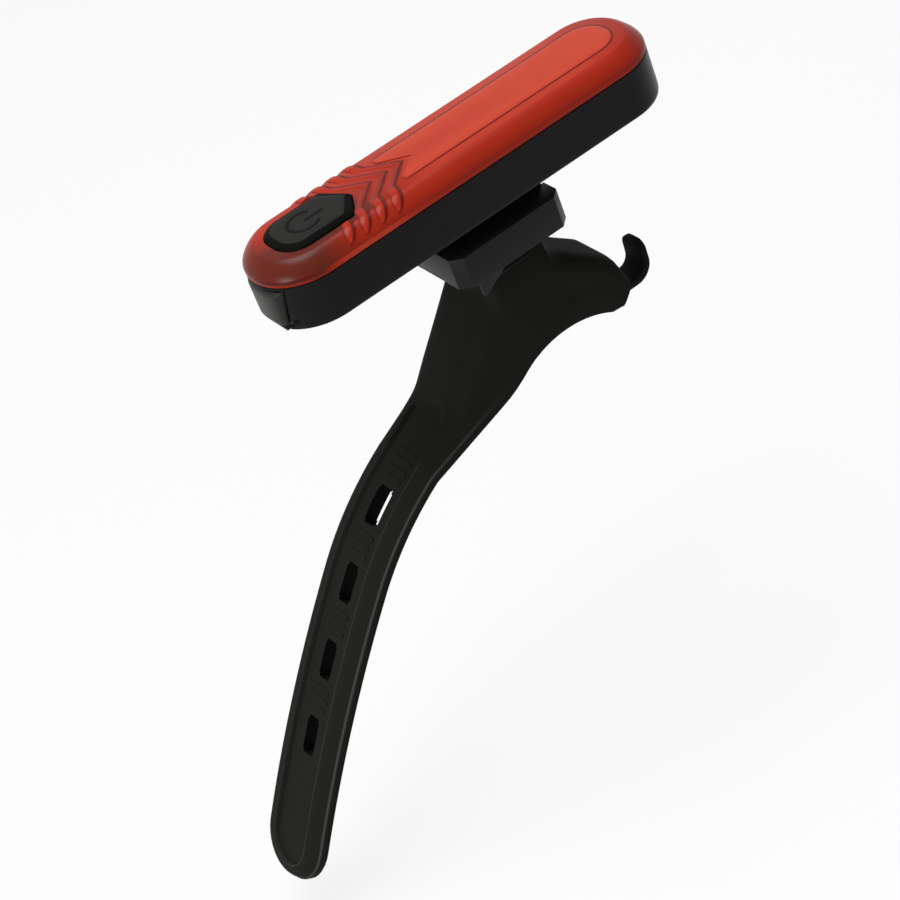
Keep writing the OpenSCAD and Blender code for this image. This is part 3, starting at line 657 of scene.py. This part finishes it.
# the ring is open for this many degrees on each side of the stroke
OPEN_HALF = 40
turn = [OPEN_HALF + (360 - 2 * OPEN_HALF) * k / RING_STEPS for k in range(RING_STEPS + 1)]
bead([Vector((SIGN_X + polar(SIGN_R, a).x, polar(SIGN_R, a).y, SIGN_Z)) for a in turn])
bead([Vector((SIGN_X + d, 0, SIGN_Z)) for d in (0.4, 2.0, 3.7)])
finish_piece("power_sign", bm, sign_ink, "button", [], angle=50)

# %% [markdown]
# ## Port flap
# A rubber flap that follows the rounded end and covers the charging port. Its face is a grid bent to
# the end and pillowed, a little narrower at the hinge, and its edges fall back into the recess. Its
# points carry painted light, paler to the far side, and painted shade along the near edge and top.

# %% Port flap
bm = bmesh.new()
flap_light_layer = bm.verts.layers.float.new("rim")
FLAP_TOP_HALF, FLAP_LOW_HALF = 4.95, 3.6
FLAP_PROUD, FLAP_BACK = 0.15, 0.65
FALL_W, FALL_DEPTH = 0.8, 0.45
# painted light across the flap, and the run under its top over which painted shade fades out
LIGHT_ACROSS, TOP_SHADE_RUN = ((-4.2, -3.0, 0.0, 2.5), (0, 0.18, 0.55, 0.82)), 1.2
columns, storeys = 18, 14


def flap_place(i, j):
    """Distance from the middle and height of a point of the grid, crowded towards the edges."""
    z = FLAP_LOW + (FLAP_HIGH - FLAP_LOW) * (1 - math.cos(math.pi * j / storeys)) / 2
    half = FLAP_LOW_HALF + (FLAP_TOP_HALF - FLAP_LOW_HALF) * (z - FLAP_LOW) / (FLAP_HIGH - FLAP_LOW)
    return half * math.sin(math.pi * (i / columns - 0.5)), z, half


def pillow(y, z, half):
    """How far the flap's face stands out of the housing's end."""
    edge = min(half - abs(y), FLAP_HIGH - z, z - FLAP_LOW)
    fall = max(0.0, 1 - edge / FALL_W)
    return FLAP_PROUD - FALL_DEPTH * fall * fall


def painted_flap_light(y, z):
    """Painted light on the flap's face, paler to the far side; painted shade along its near edge and its top.
    """
    return between(y, *LIGHT_ACROSS) * min(1.0, (FLAP_HIGH - z) / TOP_SHADE_RUN)


def flap_face(proud):
    """One face of the flap, as a bent grid."""
    grid = bmesh.ops.create_grid(bm, x_segments=columns, y_segments=storeys, size=0.5)["verts"]
    for v in grid:
        y, z, half = flap_place(round((v.co.x + 0.5) * columns), round((v.co.y + 0.5) * storeys))
        v.co = (end_x_at(y, -pillow(y, z, half) if proud else FLAP_BACK), y, z)
        v[flap_light_layer] = painted_flap_light(y, z) if proud else 0.0
    return grid


bridge_opening(bm, flap_face(True) + flap_face(False))
# the plug behind the flap, which fills the port's mouth
PORT_Z, PLUG_HALF, PLUG_RISE = BACK + 4.75, 3.5, 1.05
add_box(bm, (END_X + 0.4, -PLUG_HALF, PORT_Z - PLUG_RISE), (END_X + 1.2, PLUG_HALF, PORT_Z + PLUG_RISE),
    bevel=0.15)
finish_piece("port_flap", bm, flap_rubber, "port_cover", ["port_cover"], angle=50)

# %% [markdown]
# ## Shoe and tether
# The shoe is the plastic block that the light slides into, and the tether ties the flap to the light.
# Both are plain moulded forms, so copies of the CAD solids serve, with every sharp edge rounded.

# %% Softened copies of CAD solids
def softened(node, name, mat, body, width):
    """A copy of a CAD node with its sharp edges rounded."""
    bm = bmesh.new()
    bm.from_mesh(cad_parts[node].data)
    bmesh.ops.scale(bm, vec=(1 / MM,) * 3, verts=bm.verts[:])
    bmesh.ops.remove_doubles(bm, verts=bm.verts[:], dist=0.002)
    bmesh.ops.dissolve_limit(bm, angle_limit=math.radians(1), verts=bm.verts[:], edges=bm.edges[:])
    sharp = [e for e in bm.edges if len(e.link_faces) == 2 and e.calc_face_angle(0) > math.radians(30)]
    bmesh.ops.bevel(bm, geom=sharp, offset=width, offset_type="OFFSET", segments=2, profile=0.5,
        affect="EDGES", material=-1, clamp_overlap=True)
    return finish_piece(name, bm, mat, body, [node])


softened("bracket_shoe", "shoe_block", shoe_nylon, "strap", 0.3)
softened("cover_tether", "flap_tether", flap_rubber, "light", 0.12)

# %% [markdown]
# ## Strap
# One piece of rubber: a tail with a channel and slots, a neck, a saddle that sits on the post and
# rises to the shoe, and a wing with a hook. The form is lofted from ribs that stand across it: each
# has a top, an edge line and a bottom, and between top and edge line it is rounded on the tail, flared
# at the saddle and nearly upright at the wing. It is one mesh, without a seam.

# %% Line of the strap
STRAP_W, STRAP_T = 14.7, 3.4
HALF_W, HALF_T = STRAP_W / 2, STRAP_T / 2
EDGE_T = 1.65
SLOPE = math.radians(29.2)
R1, TURN1 = 59.5, math.radians(20.2)
R2, TURN2 = 293.0, math.radians(9.0)
LEAVE = polar(POST_R, 131)
BEND = LEAVE - Vector((19.8, 4.55))


def outward(slope):
    return Vector((-math.sin(slope), math.cos(slope)))


C1 = BEND - R1 * outward(SLOPE)
C2 = C1 + (R1 - R2) * outward(SLOPE + TURN1)
RUN1 = R1 * TURN1
TAIL_LEN = RUN1 + R2 * TURN2


def tail_at(s, off):
    """Point at a distance along the tail and an offset out of its middle."""
    if s < 0:
        return BEND - s * Vector((math.cos(SLOPE), math.sin(SLOPE))) + off * outward(SLOPE)
    if s < RUN1:
        return C1 + (R1 + off) * outward(SLOPE + s / R1)
    return C2 + (R2 + off) * outward(SLOPE + TURN1 + (s - RUN1) / R2)


print("strap bends at %.2f, %.2f and its tail is %.1f long" % (BEND.x, BEND.y, TAIL_LEN))

# %% Ribs of the strap
CHANNEL, CHANNEL_D = 4.75, 0.8
SLOT_YS = (1.3, 1.6, 1.9)
FLOOR_YS = (0.0, *SLOT_YS, 3.4, CHANNEL - 0.3)
EDGE_STEPS, EDGE_ROUND = 12, 0.2
EDGE_SHARE, FOOT_SHARE, FOOT_ROUND = 0.15, 0.2, 0.3
# the side of a rib: where it leaves the top, two distances that pull it, and a share of the way down
TAIL_SIDE, SADDLE_SIDE, WING_SIDE = (4.75, 5.6, 6.3, 0.62), (1.5, 8.6, 5.4, 0.93), (3.4, 7.2, 7.3, 0.5)
# the same for the far side, which is fuller on the tail and the saddle
TAIL_FAR, SADDLE_FAR = (4.75, 6.9, 7.3, 0.3), (4.2, 9.2, 7.4, 0.5)


def mix(a, b, t):
    return tuple(p + (q - p) * t for p, q in zip(a, b))


def half_rib(top, edge, low, down, deep, side):
    """Half a rib from the middle of its top round the edge to the middle of its bottom."""
    start, leave_y, reach_y, reach_q = side
    points = [(top - down * deep(y), y * start / CHANNEL) for y in FLOOR_YS]
    for k in range(EDGE_STEPS + 1):
        t = k / EDGE_STEPS
        a, b, c, d = (1 - t) ** 3, 3 * t * (1 - t) ** 2, 3 * t * t * (1 - t), t ** 3
        y = a * start + b * leave_y + c * reach_y + d * (HALF_W - EDGE_ROUND)
        points.append((top + (edge - top) * (c * reach_q + d), y))
    points.append((edge + (low - edge) * EDGE_SHARE, HALF_W))
    points.append((low + (edge - low) * FOOT_SHARE, HALF_W))
    points.append((low, HALF_W - FOOT_ROUND))
    return points + [(low, y) for y in (CHANNEL, *SLOT_YS[::-1], 0.0)]


def whole_rib(far, near, place):
    """Both halves of a rib as one closed outline in space."""
    outline = [(place(p), y) for p, y in far] + [(place(p), -y) for p, y in near[-2:0:-1]]
    return [Vector((p.x, y, p.y)) for p, y in outline]


tail_far, tail_near = (half_rib(HALF_T, EDGE_T - HALF_T, -HALF_T, 1.0, lambda y: CHANNEL_D, side)
    for side in (TAIL_FAR, TAIL_SIDE))
print("half a rib has", len(tail_near), "points")

# %% [markdown]
# The saddle's ribs run between two lines of its side view. The lower line follows the underside of
# the neck and the post; the upper one climbs from the shelf to the shoe and falls to the wing. Places
# that belong together on both are named, and the ribs between them share out the distance.

# %% Saddle lines
along = Vector((math.cos(SLOPE), math.sin(SLOPE)))
outer_p, inner_p = tail_at(0, HALF_T), tail_at(0, -HALF_T)
PED_X, PED_LEN, PED_DROP = LIGHT_X + 1.3, 12.0, 4.6
SHELF = 10.9
foot0, foot1 = Vector((PED_X - PED_LEN / 2, SHOE_Z0)), Vector((PED_X + PED_LEN / 2, SHOE_Z0))
drop = Vector((0, PED_DROP))
wing_top, wing_nose, wing_low = Vector((12.85, 22.8)), Vector((14.6, 17.6)), Vector((11.9, 15.4))
upper_corners = [outer_p, outer_p + SHELF * along, foot0 - drop, foot0, foot1, foot1 - drop, wing_top,
    wing_nose, wing_low]
UPPER_RADII = [0, 9, 5, 0, 0, 8, 1.2, 1.6, 0]
upper = rounded(upper_corners, UPPER_RADII, 10, closed=False)
neck = (LEAVE - inner_p).normalized()
# the rubber flows off the post in an easy curve: its ends, the pulls at them, and its steps
FLOW_BEFORE, FLOW_ANGLE, FLOW_PULLS, FLOW_STEPS = 3.0, 113, (3.6, 2.4), 12
flow_start, flow_end = LEAVE - FLOW_BEFORE * neck, polar(POST_R, FLOW_ANGLE)
flow = interpolate_bezier(flow_start, flow_start + FLOW_PULLS[0] * neck,
    flow_end - FLOW_PULLS[1] * polar(1, FLOW_ANGLE - 90), flow_end, FLOW_STEPS)
lower = [inner_p] + flow + [polar(POST_R, a) for a in range(FLOW_ANGLE - 3, 56, -3)]
lower += [wing_low - Vector((1.0, 0.6))]


def lengths(line):
    out = [0.0]
    for a, b in zip(line, line[1:]):
        out.append(out[-1] + (b - a).length)
    return out


def at_length(line, s):
    """Point at a distance along a line, and the direction square to it."""
    marks = lengths(line)
    k = next((i for i in range(1, len(line) - 1) if marks[i] >= s), len(line) - 1)
    a, b = line[k - 1], line[k]
    run = (b - a).normalized()
    return a + run * (s - marks[k - 1]), Vector((-run.y, run.x))


def nearest(line, p):
    marks = lengths(line)
    return marks[min(range(len(line)), key=lambda i: (line[i] - p).length)]


upper_marks = [0, SHELF - 2, nearest(upper, foot0), nearest(upper, foot1), nearest(upper, wing_top),
    lengths(upper)[-1]]
lower_end = lengths(lower)[-1]
lower_marks = [0, SHELF - 2.2, nearest(lower, polar(POST_R, 107)), nearest(lower, polar(POST_R, 83)),
    nearest(lower, polar(POST_R, 59)), lower_end]
edge_marks = [nearest(lower, polar(POST_R, a)) for a in (122, 110, 92, 77, 62)] + [lower_end]
edge_heights = [EDGE_T + 0.05, 1.9, 2.9, 4.1, 5.6, 1.8]
print("saddle line %.1f long over %.1f" % (upper_marks[-1], lower_end))

# %% Saddle ribs
CHANNEL_END, CHANNEL_ROUND, CHANNEL_RAMP = 11.2, 3.2, 0.7
EDGE_MOST, STATION_GAP = 0.8, 0.12
FLARE_FROM, FLARE_RUN = SHELF - 4, 9
UPRIGHT_FROM, UPRIGHT_RUN = upper_marks[3] + 4, 10


def saddle_rib(s):
    """Rib at a distance along the saddle's upper line."""
    top = at_length(upper, s)[0]
    t = between(s, upper_marks, lower_marks)
    low = at_length(lower, t)[0]
    rise = top - low
    edge = low + rise * min(EDGE_MOST, between(t, edge_marks, edge_heights) / rise.length)
    flare = max(0.0, min(1.0, (s - FLARE_FROM) / FLARE_RUN))
    upright = max(0.0, min(1.0, (s - UPRIGHT_FROM) / UPRIGHT_RUN))
    sides = [mix(mix(tail, saddle, flare), WING_SIDE, upright)
        for tail, saddle in ((TAIL_FAR, SADDLE_FAR), (TAIL_SIDE, SADDLE_SIDE))]

    def deep(y):
        end = CHANNEL_END - CHANNEL_ROUND * (1 - math.sqrt(1 - (y / CHANNEL) ** 2))
        return CHANNEL_D * max(0.0, min(1.0, (end - s) / CHANNEL_RAMP))

    far, near = (half_rib(top, edge, low, rise.normalized(), deep, side) for side in sides)
    return whole_rib(far, near, lambda p: p)


saddle_stations = [1.5, 3.0, 4.5, 6.0] + [7.0 + 0.35 * k for k in range(13)]
saddle_stations += [m for m in lengths(upper) if m > CHANNEL_END + 0.2]
for low, high in zip(upper_marks[1:], upper_marks[2:]):
    saddle_stations += [low + (high - low) * k / 10 for k in range(1, 10)]
saddle_stations = sorted(saddle_stations)
saddle_stations = [s for i, s in enumerate(saddle_stations)
    if i == 0 or s - saddle_stations[i - 1] > STATION_GAP]
print("saddle ribs", len(saddle_stations))

# %% Tail stations and slots
SLOT_LEN, SLOT_PITCH, SLOT_START, SLOT_COUNT, SLOT_END = 6.6, 13.45, 8.25, 4, 0.6
TAIL_STEPS, SLOT_CLEAR = 36, 0.7
slot_places = [SLOT_START + SLOT_PITCH * i for i in range(SLOT_COUNT)]
tail_stations = {0.0, TAIL_LEN}
for c in slot_places:
    tail_stations |= {c + side * (SLOT_LEN / 2 - d) for side in (-1, 1) for d in (0, SLOT_END)}
for k in range(1, TAIL_STEPS):
    s = TAIL_LEN * k / TAIL_STEPS
    if min(abs(s - t) for t in tail_stations) > SLOT_CLEAR:
        tail_stations.add(s)
tail_stations = sorted(tail_stations, reverse=True)


def slot_lines(s):
    """How many lines of the floor a slot takes on each side of the middle, at a place on the tail."""
    for i, c in enumerate(slot_places):
        inside = SLOT_LEN / 2 - abs(s - c)
        if inside > 0:
            return (3 if i == 0 else 2) - (inside < SLOT_END)
    return 0


print("tail ribs", len(tail_stations), "slots at", [round(c, 2) for c in slot_places])

# %% Strap body
bm = bmesh.new()
rim = bm.verts.layers.float.new("rim")
tail_ribs = [whole_rib(tail_far, tail_near, lambda off: tail_at(s, off)) for s in tail_stations]
rows = loft(bm, tail_ribs + [saddle_rib(s) for s in saddle_stations])
bm.faces.new(rows[-1])
half_count = len(tail_near)
LIP, EDGE = len(FLOOR_YS), len(FLOOR_YS) + EDGE_STEPS
# painted highlights: paler lines along the strap's edge and the channel's lip, weaker on the far side, fading
# out along the saddle
EDGE_HIGHLIGHT, LIP_HIGHLIGHT, FAR_HIGHLIGHT_SHARE = 0.5, 0.3, 0.3
HIGHLIGHT_FADE = ((0, 9, 22), (1, 0.5, 0))
for row, s in zip(rows, [-s for s in tail_stations] + saddle_stations):
    left = between(s, *HIGHLIGHT_FADE)
    row[-EDGE][rim], row[EDGE][rim] = EDGE_HIGHLIGHT * left, EDGE_HIGHLIGHT * left * FAR_HIGHLIGHT_SHARE
    if s <= 0:
        row[-LIP][rim], row[LIP][rim] = LIP_HIGHLIGHT, LIP_HIGHLIGHT * FAR_HIGHLIGHT_SHARE
slot_verts = [[] for c in slot_places]
slot_faces = set()
for k in range(len(tail_stations) - 1):
    lines = slot_lines((tail_stations[k] + tail_stations[k + 1]) / 2)
    if not lines:
        continue
    i = min(range(SLOT_COUNT), key=lambda n: abs(slot_places[n] - tail_stations[k]))
    for middle in (0, half_count - 1):
        for j in range(middle - lines, middle + lines):
            corners = [row[m % len(row)] for row in rows[k:k + 2] for m in (j, j + 1)]
            slot_verts[i] += corners
            slot_faces |= {f for f in corners[0].link_faces if set(f.verts) == set(corners)}
bmesh.ops.delete(bm, geom=list(slot_faces), context="FACES")
# the slots' walls take the nearly black rubber as painted shade
for verts in slot_verts:
    for f in bridge_opening(bm, verts):
        f.material_index = 1
print("strap ribs", len(rows), "points in each", len(rows[0]))

# %% [markdown]
# The round tip is half a rib turned about the end of the tail, as a lathe would turn it, and its
# points then follow the strap's curve.

# %% Strap tip
TIP_STEPS = 18
turned = []
for k in range(TIP_STEPS + 1):
    a = math.pi * k / TIP_STEPS
    half = [mix(f, n, k / TIP_STEPS) for f, n in zip(tail_far, tail_near)]
    places = [(tail_at(TAIL_LEN + y * math.sin(a), off), y * math.cos(a)) for off, y in half]
    turned.append([Vector((p.x, y, p.y)) for p, y in places])
# painted highlight round the tip, from the far side's weaker share to the near side's full one
for k, row in enumerate(loft(bm, turned, closed=False)):
    share = FAR_HIGHLIGHT_SHARE + (1 - FAR_HIGHLIGHT_SHARE) * k / TIP_STEPS
    row[EDGE][rim], row[LIP][rim] = EDGE_HIGHLIGHT * share, LIP_HIGHLIGHT * share
print("tip turned in", TIP_STEPS, "steps")

# %% Hook
HOOK_W, HOOK_ROOT_T, HOOK_TIP_T, HOOK_CORNER = 5.4, 1.6, 1.15, 1.5
HOOK_STEPS, HOOK_CROWD, HOOK_EDGE = 40, 1.5, 0.32
hook_line = rounded([Vector(p) for p in ((11.5, 15.6), (15.2, 13.9), (20.0, 13.9), (20.25, 20.0))],
    [0, 2.5, 2.8, 0], 10, closed=False)
hook_len = lengths(hook_line)[-1]
hook_ribs = []
for k in range(HOOK_STEPS + 1):
    s = hook_len * (1 - (1 - k / HOOK_STEPS) ** HOOK_CROWD)
    p, square = at_length(hook_line, s)
    left = max(0.0, HOOK_CORNER - (hook_len - s))
    w = HOOK_W / 2 - HOOK_CORNER + math.sqrt(max(0.01, HOOK_CORNER ** 2 - left ** 2))
    t = (HOOK_ROOT_T + (HOOK_TIP_T - HOOK_ROOT_T) * s / hook_len) / 2
    ring = rounded([Vector(q) for q in ((-t, -w), (t, -w), (t, w), (-t, w))], [HOOK_EDGE] * 4, 3)
    hook_ribs.append([Vector((p.x + square.x * q.x, q.y, p.y + square.y * q.x)) for q in ring])
rows = loft(bm, hook_ribs)
bm.faces.new(rows[0])
bm.faces.new(rows[-1])

print("hook line %.1f long" % hook_len)

# %% Grip toes and ribs in the channel
TOE_HALF = 1.5


def plate(outline):
    """A flat plate across the strap."""
    rows = loft(bm, [[(p.x, y, p.y) for p in outline] for y in (-TOE_HALF, TOE_HALF)])
    bm.faces.new(rows[0])
    bm.faces.new(rows[1])


plate([polar(POST_R, a) for a in range(132, 152, 2)] + [polar(POST_R + 0.9, 151.5), inner_p + 13.2 * neck,
    LEAVE + Vector((0, 1))])
plate([polar(POST_R, a) for a in range(57, 40, -2)] + [polar(POST_R + 0.4, 41), Vector((15.6, 13.6)),
    Vector((12.8, 15.6)), polar(POST_R + 2, 56)])
RIB_HALF, RIB_PITCH, RIB_H = 2.4, 1.6, 0.16
rib_places = [c + SLOT_PITCH / 2 + RIB_PITCH * k for c in slot_places[:-1] for k in (-1, 0, 1)]
rib_places += [SLOT_START - SLOT_LEN / 2 - 1.6 - RIB_PITCH * k for k in range(4)]
# along the strap and up: a rib is rounded at its top and goes down into the channel's floor
RIB_SECTION = [(-0.5, -0.3), (-0.35, RIB_H * 0.7), (-0.12, RIB_H), (0.12, RIB_H), (0.35, RIB_H * 0.7),
    (0.5, -0.3)]
for s in rib_places:
    places = [tail_at(s + ds, HALF_T - CHANNEL_D + h) for ds, h in RIB_SECTION]
    rows = loft(bm, [[(p.x, y, p.y) for p in places] for y in (-RIB_HALF, RIB_HALF)])
    bm.faces.new(rows[0])
    bm.faces.new(rows[1])
strap = finish_piece("strap_rubber", bm, strap_silicone, None, ["strap_saddle", "strap_tail"],
    angle=48)
strap.data.materials.append(shade_silicone)
BEND_SPREAD = 7
a, b = tail_at(-BEND_SPREAD, 0) * MM, tail_at(BEND_SPREAD, 0) * MM
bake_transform(strap)

# %% [markdown]
# ## Pieces inside
# The lens shows them only dimly and the housing hides most, so they keep their CAD form and take the
# finishes of the real ones.

# %% Finishes of the pieces inside
finishes = {"lens_seal": seal_rubber, "diffuser": frosted_red, "reflector_tray": white_abs,
    "led_strip": white_abs, "led_chips": phosphor, "circuit_board": board_green, "board_screws": plated_steel,
    "control_chips": chip_epoxy, "charge_led": green_resin, "tact_switch": chip_epoxy,
    "switch_plunger": white_abs, "usb_socket": plated_steel, "usb_tongue": chip_epoxy,
    "battery": pouch_foil, "battery_pad": foam_tape, "battery_leads": wire_skin,
    "anchor_plate": shoe_nylon, "shoe_screws": plated_steel}
for name, mat in finishes.items():
    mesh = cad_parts[name].data
    mesh.materials.clear()
    mesh.materials.append(mat)
print("finished", len(finishes), "pieces inside")

# %% [markdown]
# ## Stage
# The photograph is a cut-out on white. The floor and the sky are white to the eye, straight or by way
# of a shine or a glass, and light the object only faintly. A wide soft lamp above and a lower one at
# the button end do that, so the near sides stay dark.

# %% World and floor
def white_ray(owner):
    """1 for the rays by which the eye, and the eye by way of a shine or a glass, sees the background."""
    ray = add(owner, "ShaderNodeLightPath")
    seen = add(owner, "ShaderNodeMath", None, {0: (ray, "Is Camera Ray"), 1: (ray, "Is Glossy Ray")},
        operation="ADD")
    return add(owner, "ShaderNodeMath", None, {0: (seen, "Value"), 1: (ray, "Is Transmission Ray")},
        operation="ADD", use_clamp=True)


scene = bpy.context.scene
scene.view_settings.view_transform = "Standard"
SKY_LIGHT = 0.2
world = bpy.data.worlds.new("soft room")
scene.world = world
world.use_nodes = True
world.node_tree.nodes.clear()
sky_seen = add(world, "ShaderNodeBackground", {"Color": (1, 1, 1, 1), "Strength": 1.0})
sky_lit = add(world, "ShaderNodeBackground", {"Color": (1, 1, 1, 1), "Strength": SKY_LIGHT})
sky_pick = add(world, "ShaderNodeMixShader", None,
    {0: (white_ray(world), "Value"), 1: (sky_lit, "Background"), 2: (sky_seen, "Background")})
add(world, "ShaderNodeOutputWorld", None, {"Surface": (sky_pick, "Shader")})

# white paper: matt, with the object's shadow left faintly in it
floor_white = new_material("white paper floor")
SHADOW_SHARE = 0.15
# the tail swings this far below its rest when it wraps a post
FLOOR_DROP = 0.0065
paper = add(floor_white, "ShaderNodeBsdfDiffuse", {"Color": (0.8, 0.8, 0.8, 1)})
glow = add(floor_white, "ShaderNodeEmission", {"Strength": 1.0})
pale = add(floor_white, "ShaderNodeMixShader", {0: SHADOW_SHARE}, {1: (glow, "Emission"), 2: (paper, "BSDF")})
floor_pick = add(floor_white, "ShaderNodeMixShader", None,
    {0: (white_ray(floor_white), "Value"), 1: (paper, "BSDF"), 2: (pale, "Shader")})
add(floor_white, "ShaderNodeOutputMaterial", None, {"Surface": (floor_pick, "Shader")})
bm = bmesh.new()
bmesh.ops.create_grid(bm, x_segments=1, y_segments=1, size=1.2)
floor_mesh = bpy.data.meshes.new("floor")
bm.to_mesh(floor_mesh)
bm.free()
floor_mesh.materials.append(floor_white)
floor = bpy.data.objects.new("floor", floor_mesh)
floor.location = (0, 0, cad_low.z - FLOOR_DROP)
scene.collection.objects.link(floor)
floor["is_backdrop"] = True
print("floor at %.4f m" % floor.location.z)


# %% Lamps
def soft_lamp(name, place, aim, size, watts):
    lamp = bpy.data.lights.new(name, "AREA")
    lamp.shape = "DISK"
    lamp.size = size
    lamp.energy = watts
    obj = bpy.data.objects.new(name, lamp)
    obj.location = place
    obj.rotation_mode = "QUATERNION"
    obj.rotation_quaternion = (Vector(aim) - Vector(place)).to_track_quat("-Z", "Y")
    scene.collection.objects.link(obj)


soft_lamp("lamp above", (-0.05, 0.05, 0.7), (-0.01, 0, 0.03), 0.5, 4.6)
soft_lamp("lamp at the button end", (-0.6, -0.2, 0.15), (-0.02, 0, 0.03), 0.3, 2.2)

# %% [markdown]
# ## Camera
# An ordinary long lens from the photograph's side. Its place was fitted to the outline of the light
# and of the strap in the photograph, at the real size.

# %% Camera
data = bpy.data.cameras.new("camera")
data.sensor_width = 36.0
data.lens = 120.716
data.clip_start, data.clip_end = 0.01, 10.0
camera = bpy.data.objects.new("camera", data)
azimuth, elevation, roll = (math.radians(v) for v in (-22.05819, 35.109, -21.92209))
level = math.cos(elevation)
back = Vector((math.sin(azimuth) * level, -math.cos(azimuth) * level, math.sin(elevation)))
flat = Vector((math.cos(azimuth), math.sin(azimuth), 0))
up = back.cross(flat)
right = flat * math.cos(roll) + up * math.sin(roll)
tall = up * math.cos(roll) - flat * math.sin(roll)
camera.rotation_mode = "QUATERNION"
camera.rotation_quaternion = Matrix((right, tall, back)).transposed().to_quaternion()
camera.location = Vector((-173.519, -370.155, 286.498)) * MM
scene.collection.objects.link(camera)
scene.camera = camera
print("camera at", [round(v, 3) for v in camera.location])

# %% Size of the scene
low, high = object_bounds()
print("visual box", [round(v, 4) for v in low], [round(v, 4) for v in high])
